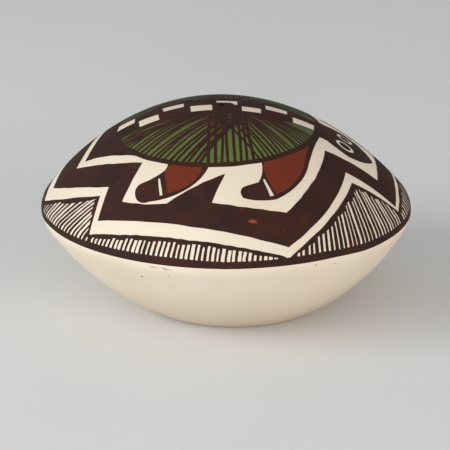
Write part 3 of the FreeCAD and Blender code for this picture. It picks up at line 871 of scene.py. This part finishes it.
def bump(tree, shader, height, strength, distance):
    node = add_node(tree, "ShaderNodeBump", Height=height, Strength=strength, Distance=distance)
    tree.links.new(node.outputs[0], shader.inputs["Normal"])


def gloss_range(tree, shader, mask, low, high):
    spread = add_node(tree, "ShaderNodeMapRange", Value=mask, i1=0.0, i2=1.0, i3=low, i4=high)
    tree.links.new(spread.outputs[0], shader.inputs["Roughness"])


def spot_mask(tree, centre, size):
    """Mask of one ragged spot: centre and half size in millimetres."""
    point = object_point(tree)
    offset = vector_node(tree, "SUBTRACT", point, [c * MM for c in centre]).outputs[0]
    scaled = vector_node(tree, "DIVIDE", offset, [c * MM for c in size]).outputs[0]
    far = vector_node(tree, "LENGTH", scaled).outputs["Value"]
    ragged = add_node(tree, "ShaderNodeTexNoise", Vector=point, Scale=1800, Detail=2)
    return ramp(tree, math_node(tree, "ADD", far, ragged.outputs["Fac"]), 1.0, 1.5, 1.0, 0.0)


# Small marks on the bowl: x, height below the rim, half width, half height, colour.
BOWL_MARKS = [
    (-19.2, 4.4, 0.4, 0.3, (0.20, 0.15, 0.10)), (-13.0, 2.8, 0.25, 0.2, (0.30, 0.22, 0.15)),
    (24.8, 1.6, 0.5, 0.3, (0.50, 0.33, 0.24)), (20.4, 1.0, 0.4, 0.25, (0.50, 0.30, 0.22)),
    (-33.2, 1.8, 0.5, 0.25, (0.25, 0.19, 0.14)),
]


def slip_material():
    """Pale slip: warmer and darker towards the foot, partly its own tone and partly painted shade under the
    bowl; mottled, pitted, marked and faintly burnished.
    """
    material, tree, shader = new_material("polished_slip", 0.5)
    if tree is None:
        return material
    height = add_node(tree, "ShaderNodeSeparateXYZ", i0=object_point(tree)).outputs["Z"]
    # Painted shade: towards the foot the slip is mixed with the darker low colour, partly its own warmer
    # tone, partly shade under the bowl
    low = ramp(tree, height, 0.0, 14 * MM, 0.45, 0.0)
    color = mixed(tree, low, paint().slip, paint().low_slip_and_shade)
    kiln = place_group(tree, "kiln mottling", kiln_group, {
        "Color": color, "Patches": 0.35, "Grain": 0.10, "Specks": 0.55})
    color = kiln.outputs["Color"]
    rim = form().rim_height / MM
    for x, below, wide, high, mark in BOWL_MARKS:
        spot = spot_mask(tree, (x, -40, rim - below), (wide, 9, high))
        color = mixed(tree, spot, color, mark)
    scratches = noise_mask(tree, object_point(tree, (220, 220, 5200)), 1.0, 2, 0.52, 0.62)
    rubbed = spot_mask(tree, (-14.6, -42.4, rim - 0.9), (3.6, 4, 0.55))
    color = mixed(tree, times(tree, scratches, rubbed), color, (0.20, 0.15, 0.12))
    tree.links.new(color, shader.inputs["Base Color"])
    burnish = place_group(tree, "burnish strokes", burnish_group, {"Scale": 1.0})
    gloss_range(tree, shader, burnish.outputs["Gloss"], 0.42, 0.56)
    dented = math_node(tree, "SUBTRACT", burnish.outputs["Height"], kiln.outputs["Pits"])
    bump(tree, shader, dented, 0.25, 0.06 * MM)
    return material


def paint_material(name, full, thin, thinness, spots, low, high):
    """Mineral paint: its colour thins to a warmer one in clouds, streaks and spots."""
    material, tree, shader = new_material(name, low, 0.12)
    if tree is None:
        return material
    brushwork = place_group(tree, "brushed paint", brush_group, {
        "Full": full, "Thin": thin, "Thinness": thinness, "Spots": spots})
    kiln = place_group(tree, "kiln mottling", kiln_group, {
        "Color": brushwork.outputs["Color"], "Patches": 0.2, "Grain": 0.12, "Specks": 0.0})
    tree.links.new(kiln.outputs["Color"], shader.inputs["Base Color"])
    gloss_range(tree, shader, brushwork.outputs["Thickness"], low, high)
    bump(tree, shader, brushwork.outputs["Thickness"], 0.15, 0.04 * MM)
    return material


def dark_material():
    """Dark brown paint with one spot worn to the orange-red under it."""
    made = bpy.data.materials.get("dark_brown_paint")
    if made:
        return made
    material = paint_material("dark_brown_paint", paint().dark, paint().rust, 0.22, 0.30, 0.70, 0.85)
    tree = material.node_tree
    color = tree.nodes["Principled BSDF"].inputs["Base Color"]
    worn = spot_mask(tree, (6.1, -37.9, 29), (1.3, 0.5, 9))
    tree.links.new(mixed(tree, worn, color.links[0].from_socket, (0.27, 0.06, 0.022)), color)
    return material


# Washes on the green: half width, half depth, share of it that is full, strength, colour
GREEN_WASHES = [
    (34 * MM, 17 * MM, 0.3, 0.75, (0.072, 0.068, 0.028)),
    (19 * MM, 13 * MM, 0.5, 0.85, (0.034, 0.024, 0.016)),
]


def green_material():
    """Olive green, darker and browner towards the middle of the spine."""
    made = bpy.data.materials.get("olive_paint")
    if made:
        return made
    material = paint_material("olive_paint", paint().green, (0.05, 0.07, 0.02), 0.5, 0.2, 0.55, 0.7)
    tree = material.node_tree
    base = tree.nodes["Principled BSDF"].inputs["Base Color"]
    color = base.links[0].from_socket
    middle = (1.0 * MM, SPINE_Y * MM - 0.5 * MM, 0)
    offset = vector_node(tree, "SUBTRACT", object_point(tree), middle).outputs[0]
    for width, depth, inner, amount, wash in GREEN_WASHES:
        scaled = vector_node(tree, "MULTIPLY", offset, (1 / width, 1 / depth, 0)).outputs[0]
        far = vector_node(tree, "LENGTH", scaled).outputs["Value"]
        near = ramp(tree, far, inner, 1.0, amount, 0.0, "SMOOTHSTEP")
        color = mixed(tree, near, color, wash)
    tree.links.new(color, base)
    return material


def red_material():
    return paint_material("red_brown_paint", paint().red, (0.10, 0.02, 0.01), 0.4, 0.15, 0.5, 0.65)


def clay_material():
    """Bare fired clay: rough and grainy, with temper specks."""
    material, tree, shader = new_material("raw_clay", 0.85, 0.2)
    if tree is None:
        return material
    kiln = place_group(tree, "kiln mottling", kiln_group, {
        "Color": paint().clay, "Patches": 0.8, "Grain": 0.7, "Specks": 0.9})
    tree.links.new(kiln.outputs["Color"], shader.inputs["Base Color"])
    grain = noise_mask(tree, object_point(tree), 1500, 4, 0.2, 0.8)
    bump(tree, shader, grain, 0.5, 0.12 * MM)
    gloss_range(tree, shader, grain, 0.75, 0.92)
    return material


# Pieces

# Heights of the paints above the slip
COLOUR_LIFT = 0.020 * MM
DARK_LIFT = 0.034 * MM
LINE_LIFT = 0.045 * MM
SMALL_LIFT = 0.004 * MM


def hollow_profile(points, floor_radius, floor_round):
    """Inside of the bowl below the rim: follows the wall, then rounds into a flat floor."""
    f = form()
    inside = []
    for radius, height in points:
        if height > f.floor + floor_round * 0.8:
            inside.append((radius, height))
    radius, height = inside[-1]
    for step in range(1, 9):
        angle = math.pi / 2 * step / 8
        inside.append((
            floor_radius + (radius - floor_radius) * math.cos(angle),
            height - (height - f.floor) * math.sin(angle)))
    inside.append((0, f.floor))
    return inside


class SEEDPOT_OT_clay(bpy.types.Operator):
    """Turns the two clay pieces, the bowl and the dome with its mouth"""
    bl_idname = "seedpot.clay"
    bl_label = "Clay Bowl and Dome"

    def execute(self, context):
        f = form()
        seam = seam_corner.z
        outside = profile(f.coat)
        inside = profile(f.coat + f.wall)
        low_outside = [(r, z) for r, z in outside if z <= seam and r > f.foot_radius]
        low_inside = hollow_profile([(r, z) for r, z in inside if z <= seam], 12 * MM, 9 * MM)
        bowl = [(0, 0), (f.foot_radius - 0.5 * MM, 0), (f.foot_radius - 0.1 * MM, 0.15 * MM)]
        bowl += low_outside[::-1] + low_inside
        mesh = form_by_hand(spun_mesh("clay_bowl", bowl, closed=False))
        finish_piece("clay_bowl", mesh, clay_material(), ["base_bowl"])
        dome = [(r, z) for r, z in outside if z > seam] + [(r, z) for r, z in inside if z > seam][::-1]
        mesh = form_by_hand(without_mouth(spun_mesh("clay_dome", dome, closed=False)))
        finish_piece("clay_dome", mesh, clay_material(), ["shoulder_dome"])
        return {"FINISHED"}


class SEEDPOT_OT_slip(bpy.types.Operator):
    """Coats the bowl and the dome with pale slip"""
    bl_idname = "seedpot.slip"
    bl_label = "Slip Coats"

    def execute(self, context):
        f = form()
        outside = profile(f.slip_depth)
        inside = profile(f.coat)
        low = [(r, z) for r, z in outside if z <= f.rim_height] + [
            (r, z) for r, z in inside if z <= f.rim_height][::-1]
        mesh = form_by_hand(spun_mesh("bowl_slip_coat", low))
        finish_piece("bowl_slip_coat", mesh, slip_material(), ["bowl_slip"])
        high = [(r, z) for r, z in outside if z >= f.rim_height - 0.5 * MM] + [
            (r, z) for r, z in inside if z >= f.rim_height - 0.5 * MM][::-1]
        mesh = form_by_hand(without_mouth(spun_mesh("dome_slip_coat", high, closed=False)))
        finish_piece("dome_slip_coat", mesh, slip_material(), ["dome_slip"])
        return {"FINISHED"}


class SEEDPOT_OT_rim_line(bpy.types.Operator):
    """Paints the dark line round the widest part"""
    bl_idname = "seedpot.rim_line"
    bl_label = "Rim Line"

    def execute(self, context):
        f = form()
        rows = 8
        bm = bmesh.new()
        ring = [bm.verts.new((1, 0, row / rows)) for row in range(rows + 1)]
        edges = [bm.edges.new(pair) for pair in zip(ring, ring[1:])]
        turn_round(bm, ring + edges, 3 * f.segments)
        bmesh.ops.recalc_face_normals(bm, faces=bm.faces)
        centre, radius = profile_arcs(f.slip_depth - LINE_LIFT)[2][:2]
        grown = bmesh.ops.extrude_face_region(bm, geom=bm.faces[:], use_keep_orig=True)
        top = set(only(bmesh.types.BMVert, grown["geom"]))
        chance = random.Random(paint().seed)
        waves = [(n, chance.uniform(0, 6.28), chance.uniform(0.3, 1)) for n in (3, 7, 13, 29, 53, 81)]
        for vertex in bm.verts:
            turn = math.atan2(vertex.co.y, vertex.co.x)
            share = vertex.co.z
            wander = sum(size * math.sin(n * turn + phase) for n, phase, size in waves) / 4
            round_share = turn / (2 * math.pi) + 0.5
            upper = (along_values(RIM_UPPER, round_share) + 0.09 * wander) * MM
            dip = 0.05 * math.sin(11 * turn + 2 * wander)
            lower = (along_values(RIM_LOWER, round_share) + dip) * MM
            along = lower + (upper - lower) * share
            angle = along / radius
            reach = radius if vertex in top else radius - LINE_LIFT - FILM_ROOT
            place = Vector((centre.x + reach * math.cos(angle), 0, centre.y + reach * math.sin(angle)))
            vertex.co = hand_formed(Vector((place.x * math.cos(turn), place.x * math.sin(turn), place.z)))
        bmesh.ops.recalc_face_normals(bm, faces=bm.faces)
        mesh = as_mesh(bm, "rim_line_paint")
        mesh.shade_smooth()
        mesh.set_sharp_from_angle(angle=math.radians(50))
        finish_piece("rim_line_paint", mesh, dark_material(), ["rim_line"])
        return {"FINISHED"}


class SEEDPOT_OT_band(bpy.types.Operator):
    """Paints the zigzag band round the turtle"""
    bl_idname = "seedpot.band"
    bl_label = "Zigzag Band"

    def execute(self, context):
        chance = random.Random(paint().seed + 1)
        loops = [brushed(curved(BAND_OUTSIDE), chance), brushed(curved(BAND_INSIDE), chance)]
        painted("zigzag_paint", dark_material(), "lightning_band", "dark_paint", (loops, DARK_LIFT))
        return {"FINISHED"}


class SEEDPOT_OT_hatching(bpy.types.Operator):
    """Paints the hatched fields, leaving the pale gaps open"""
    bl_idname = "seedpot.hatching"
    bl_label = "Hatched Fields"

    def execute(self, context):
        line = curved(LINE_OUTSIDE)
        for name, first_corner, last_corner, first, last, count, directions, width in HATCHED_FIELDS:
            chance = random.Random(paint().seed + len(name) + first_corner)
            field, begin, finish = self.field(first_corner, last_corner, chance)
            gaps = []
            for index in range(count):
                share = index / (count - 1)
                angle = math.radians(first + (last - first) * share + chance.uniform(-0.12, 0.12))
                if not begin + 0.012 < (angle - begin) % (2 * math.pi) + begin < finish - 0.012:
                    continue
                start = Vector((math.cos(angle), math.sin(angle))) * RIM_GAP_START * MM
                turn = math.radians(along_values(directions, share) + chance.uniform(-1.5, 1.5))
                wide = width * MM * chance.uniform(0.62, 1.3)
                frame = chance.uniform(0.75, 1.3)
                for _ in range(6):
                    gap = self.gap(start, turn, wide, frame, line, chance)
                    if gap and clear_of(gap, gaps[-2:], GAP_ROOM) and clear_of(gap, [field], EDGE_ROOM):
                        if not crossed(gap, gaps[-4:] + [field], GAP_REACH):
                            gaps.append(gap)
                            break
                    wide *= 0.8
                    frame *= 1.1
            layer = ([field] + gaps, DARK_LIFT)
            painted(name + "_paint", dark_material(), name, "dark_paint", layer)
        return {"FINISHED"}

    @staticmethod
    def gap(start, turn, wide, frame, line, chance):
        """Pale gap from the rim to a dark frame along the pale line, or None if too short."""
        direction = Vector((math.cos(turn), math.sin(turn)))
        side = Vector((-direction.y, direction.x)) * wide / 2
        bend = chance.uniform(-0.015, 0.015)
        sides = []
        for sign in (-1, 1):
            foot = start + side * sign
            for _ in range(3):
                inward = max(0.3, -foot.normalized() @ direction)
                foot += direction * (foot.length - RIM_GAP_START * MM) / inward
            meeting = crossing(foot, direction, line)
            if meeting is None:
                return None
            reach, slant = meeting
            depth = FRAME_START * MM - (foot + direction * reach).length
            reach -= min(frame * (0.5 * MM + 0.07 * depth) / max(slant, 0.5), 0.45 * reach)
            if reach < SHORTEST_GAP:
                return None
            count = max(2, round(reach / (0.6 * MM)))
            points = []
            for step in range(count + 1):
                share = step / count
                waver = 1 if step in (0, count) else chance.uniform(0.85, 1.15)
                swing = bend * math.sin(math.pi * share) * reach / wide
                points.append(foot + direction * reach * share + side * (sign * (waver - 1) + swing))
            sides.append(points)
        return sides[0] + sides[1][::-1]

    @staticmethod
    def field(first_corner, last_corner, chance):
        """Outline between two corners of the pale line, closed at the rim, and its end angles."""
        corners = LINE_OUTSIDE + LINE_OUTSIDE[:1]
        edge = brushed(curved(corners[first_corner:last_corner + 1], closed=False), chance)
        edge = [point for point in edge if point.length < (RIM_LINE_INSIDE - 0.2) * MM]
        start = math.atan2(edge[-1].y, edge[-1].x)
        end = math.atan2(edge[0].y, edge[0].x)
        while start < end:
            start += 2 * math.pi
        count = max(4, round((start - end) * RIM_LINE_INSIDE / 0.5))
        turns = [start + (end - start) * i / count for i in range(count + 1)]
        outer = [Vector((math.cos(turn), math.sin(turn))) * RIM_LINE_INSIDE * MM for turn in turns]
        return edge + outer, end, start


class SEEDPOT_OT_shell(bpy.types.Operator):
    """Paints the turtle's shell: green, dark spine with pale dashes, dark strokes and edge"""
    bl_idname = "seedpot.shell"
    bl_label = "Shell"

    def execute(self, context):
        chance = random.Random(paint().seed + 3)
        edge = shell_edge(0.3)
        near = [point for point in edge if point.y < -6.3 * MM]
        near += [Vector(corner) * MM for corner in SPINE_NEAR]
        far = [point for point in edge if point.y > 2.5 * MM]
        far += [Vector(corner) * MM for corner in SPINE_FAR]
        painted(
            "shell_green_paint", green_material(), "shell_green", "green_paint",
            ([near], COLOUR_LIFT), ([far], COLOUR_LIFT))
        spine = [brushed(curved(SPINE_BAND), chance)]
        spine += [brushed(curved([(x, y, 0) for x, y in dash]), chance, 0.6) for dash in DASHES]
        # The spine's dark film overhangs the mouth's lip a little, darkening its edge as part of the hole's
        # painted shade
        spine.append(circle(form().mouth_x / MM, form().mouth_y / MM, form().mouth_radius / MM - 0.06, 32))
        layers = [(spine, DARK_LIFT)]
        for side in (-1, 1):
            for stroke in self.strokes(chance, side):
                layers.append(([stroke], DARK_LIFT - chance.uniform(0.002, 0.006) * MM))
        painted("shell_stroke_paint", dark_material(), "shell_strokes", "dark_paint", *layers)
        # Dark lining of the mouth: paint over the lip, and painted shade down inside the hole
        self.mouth_shade_collar()
        ring = [
            brushed(shell_edge(RING_WIDTH), chance),
            brushed([
                point + Vector((-0.6 * MM * max(0.0, 1 - abs(point.y / MM) / 4), 0)) if point.x < 0 else point
                for point in shell_edge(-0.05)], chance)]
        painted("shell_edge_paint", dark_material(), "shell_outline", "dark_paint", (ring, LINE_LIFT))
        return {"FINISHED"}

    @staticmethod
    def mouth_shade_collar():
        """Dark paint over the mouth's lip, run down into the hole as painted shade that makes it read dark.
        """
        f = form()
        outer, inner = f.mouth_radius - 0.01 * MM, f.mouth_radius - 0.09 * MM
        top = dome_height(math.hypot(f.mouth_x, f.mouth_y), f.slip_depth)
        low = top - 1.8 * MM
        # Painted shade: the dark lining reaches 1.8 mm down inside the mouth so that the hole reads dark
        mesh = spun_mesh("mouth_paint_and_shade", [(inner, top), (outer, top), (outer, low), (inner, low)], steps=48)
        mesh.transform(Matrix.Translation((f.mouth_x, f.mouth_y, 0)))
        finish_piece("mouth_paint_and_shade", form_by_hand(mesh), dark_material(), [])

    @staticmethod
    def strokes(chance, side):
        """Dark strokes from the shell's edge towards the spine, in fans that cross."""
        outlines = []
        edge = shell_edge(0.2, 720)
        for first, last, count, directions, longest, width in STROKE_FANS:
            for index in range(count):
                share = index / (count - 1)
                angle = first + (last - first) * share + chance.uniform(-0.35, 0.35)
                start = edge[round(-2 * side * angle) % len(edge)] / MM
                turn = math.radians(along_values(directions, share) + chance.uniform(-0.9, 0.9))
                direction = Vector((math.cos(turn), -side * math.sin(turn)))
                reach = along_values(longest, share) * chance.uniform(0.9, 1.05)
                if abs(direction.y) > 0.05:
                    reach = min(reach, (abs(start.y - SPINE_Y) - 4.6) / abs(direction.y))
                wide = width * MM * chance.uniform(0.85, 1.12) * (1 if side < 0 else 0.7)
                end = start + direction * reach
                outlines.append(sliver(start * MM, end * MM, (wide, wide, wide * 0.85), chance))
        return outlines


class SEEDPOT_OT_legs(bpy.types.Operator):
    """Paints the four legs: red skin inside a dark foot and outline with a pale dash"""
    bl_idname = "seedpot.legs"
    bl_label = "Legs"

    def execute(self, context):
        kinds = (("hind", HIND_LEG, HIND_SKIN, HIND_DASH), ("fore", FORE_LEG, FORE_SKIN, FORE_DASH))
        for place, leg, fill, dash in kinds:
            for side in ("near", "far"):
                chance = random.Random(paint().seed + len(place + side) + ord(place[0]))
                shapes = [on_shell(leg, SHELL_RADIUS + 0.5), on_shell(fill, SHELL_RADIUS + 0.9), dash]
                if side == "far":
                    shapes = [mirrored(shape) for shape in shapes]
                outline, inside, gap = (brushed(curved(shape), chance, 0.7) for shape in shapes)
                skin = "%s_skin_%s" % (place, side)
                foot = "%s_foot_%s" % (place, side)
                painted(
                    skin + "_paint", red_material(), skin, "red_paint",
                    ([self.grown(inside, 0.2 * MM)], COLOUR_LIFT))
                painted(
                    foot + "_paint", dark_material(), foot, "dark_paint",
                    ([outline, inside, gap], DARK_LIFT + SMALL_LIFT))
        return {"FINISHED"}

    @staticmethod
    def grown(points, distance):
        """Outline moved outwards, so that the red runs under the dark outline."""
        area = sum(a.x * b.y - a.y * b.x for a, b in zip(points, points[1:] + points[:1]))
        way = 1 if area > 0 else -1
        moved = []
        for index, point in enumerate(points):
            along = (points[(index + 1) % len(points)] - points[index - 1]).normalized()
            moved.append(point + Vector((along.y, -along.x)) * distance * way)
        return moved


class SEEDPOT_OT_head(bpy.types.Operator):
    """Paints the turtle's dark head with its ring eyes, and its dark hind end"""
    bl_idname = "seedpot.head"
    bl_label = "Head and Tail"

    def execute(self, context):
        chance = random.Random(paint().seed + 5)
        loops = [brushed(curved(on_shell(HEAD, SHELL_RADIUS + 0.6)), chance, 0.7)]
        for x, y, radius in EYES:
            loops.append(brushed(circle(x, y, radius, 48), chance, 0.5))
            loops.append(brushed(circle(x, y, radius - 0.7, 36), chance, 0.5))
        painted("head_paint", dark_material(), "head", "dark_paint", (loops, DARK_LIFT + SMALL_LIFT))
        tail = brushed(curved(on_shell(TAIL, SHELL_RADIUS + 0.6)), chance)
        painted("tail_paint", dark_material(), "tail", "dark_paint", ([tail], DARK_LIFT - SMALL_LIFT))
        return {"FINISHED"}


class SEEDPOT_OT_stage(bpy.types.Operator):
    """Sets the floor, the soft lamps and the camera"""
    bl_idname = "seedpot.stage"
    bl_label = "Stage"

    def execute(self, context):
        self.floor()
        self.lamps()
        self.camera()
        return {"FINISHED"}

    def floor(self):
        bm = bmesh.new()
        reach = 2.4
        front = [bm.verts.new((-reach, -1.2, 0)), bm.verts.new((reach, -1.2, 0))]
        edge = bm.edges.new(front)
        row = bmesh.ops.extrude_edge_only(bm, edges=[edge])["geom"]
        moved = only(bmesh.types.BMVert, row)
        bmesh.ops.translate(bm, verts=moved, vec=(0, 2.2, 0))
        last = [item for item in only(bmesh.types.BMEdge, row) if all(v in moved for v in item.verts)]
        bend = bmesh.ops.spin(
            bm, geom=last + moved, cent=(0, 1.0, 0.6), axis=(1, 0, 0), angle=math.radians(80),
            steps=24, use_merge=False, use_duplicate=False)["geom_last"]
        raised = bmesh.ops.extrude_edge_only(bm, edges=only(bmesh.types.BMEdge, bend))["geom"]
        bmesh.ops.translate(bm, verts=only(bmesh.types.BMVert, raised), vec=(0, 0.25, 1.6))
        bmesh.ops.recalc_face_normals(bm, faces=bm.faces)
        mesh = as_mesh(bm, "floor_sweep")
        mesh.shade_smooth()
        material, tree, shader = new_material("grey_paper", 0.9, 0.1)
        fibre = noise_mask(tree, object_point(tree), 9, 3, 0.3, 0.7)
        color = mixed(tree, fibre, setting().floor, [0.97 * c for c in setting().floor])
        tree.links.new(color, shader.inputs["Base Color"])
        mesh.materials.append(material)
        floor = bpy.data.objects.new("floor_sweep", mesh)
        bpy.context.scene.collection.objects.link(floor)

    def lamps(self):
        world = bpy.context.scene.world or bpy.data.worlds.new("studio")
        bpy.context.scene.world = world
        world.use_nodes = True
        back = world.node_tree.nodes["Background"]
        back.inputs["Color"].default_value = (0.98, 0.99, 1.0, 1)
        back.inputs["Strength"].default_value = setting().sky
        self.lamp("left_lamp", (-0.9, -0.35, 0.35), 0.8, setting().left_power, (0.97, 1.0, 1.0))
        self.lamp("right_lamp", (0.75, -0.75, 0.2), 0.7, setting().right_power, (1.0, 0.93, 0.86))
        self.lamp("front_lamp", (0.0, -1.0, 0.1), 0.7, setting().front_power, (1.0, 0.97, 0.92))

    @staticmethod
    def lamp(name, place, size, power, color):
        light = bpy.data.lights.new(name, "AREA")
        light.shape = "DISK"
        light.size = size
        light.energy = power
        light.color = color
        lamp = bpy.data.objects.new(name, light)
        lamp.location = place
        towards_pot = Vector((0, 0, 0.02)) - Vector(place)
        lamp.rotation_euler = towards_pot.to_track_quat("-Z", "Y").to_euler()
        bpy.context.scene.collection.objects.link(lamp)

    @staticmethod
    def camera():
        s = setting()
        rim = Vector((0, 0, form().rim_height))
        back = Vector((0, -math.cos(s.elevation), math.sin(s.elevation)))
        up = Vector((0, math.sin(s.elevation), math.cos(s.elevation)))
        data = bpy.data.cameras.new("photo_camera")
        data.lens = s.lens
        data.sensor_width = 36
        data.clip_start = 0.01
        camera = bpy.data.objects.new("photo_camera", data)
        camera.location = rim + back * s.distance
        aim = rim + Vector((1, 0, 0)) * s.aim_right + up * s.aim_up
        camera.rotation_euler = (aim - camera.location).to_track_quat("-Z", "Y").to_euler()
        bpy.context.scene.collection.objects.link(camera)
        bpy.context.scene.camera = camera


class VIEW3D_PT_seed_pot(bpy.types.Panel):
    """Builds the pot piece by piece"""
    bl_idname = "VIEW3D_PT_seed_pot"
    bl_label = "Seed Pot"
    bl_space_type = "VIEW_3D"
    bl_region_type = "UI"
    bl_category = "Seed Pot"

    def draw(self, context):
        for group in (form(), paint(), setting()):
            box = self.layout.box()
            for name in group.__annotations__:
                box.prop(group, name)
        for step in STEPS:
            self.layout.operator(step.bl_idname)


STEPS = (
    SEEDPOT_OT_clay, SEEDPOT_OT_slip, SEEDPOT_OT_rim_line, SEEDPOT_OT_band, SEEDPOT_OT_hatching,
    SEEDPOT_OT_shell, SEEDPOT_OT_legs, SEEDPOT_OT_head, SEEDPOT_OT_stage,
)
GROUPS = (
    ("seed_pot_form", SeedPotForm), ("seed_pot_paint", SeedPotPaint), ("seed_pot_stage", SeedPotStage),
)


def register():
    for name, group in GROUPS:
        bpy.utils.register_class(group)
        setattr(bpy.types.Scene, name, PointerProperty(type=group))
    for step in STEPS:
        bpy.utils.register_class(step)
    bpy.utils.register_class(VIEW3D_PT_seed_pot)


def unregister():
    bpy.utils.unregister_class(VIEW3D_PT_seed_pot)
    for step in reversed(STEPS):
        bpy.utils.unregister_class(step)
    for name, group in reversed(GROUPS):
        delattr(bpy.types.Scene, name)
        bpy.utils.unregister_class(group)


def main():
    register()
    bpy.context.scene.view_settings.view_transform = "Standard"
    bpy.ops.seedpot.clay()
    bpy.ops.seedpot.slip()
    bpy.ops.seedpot.rim_line()
    bpy.ops.seedpot.band()
    bpy.ops.seedpot.hatching()
    bpy.ops.seedpot.shell()
    bpy.ops.seedpot.legs()
    bpy.ops.seedpot.head()
    bpy.ops.seedpot.stage()


if __name__ == "__main__":
    main()
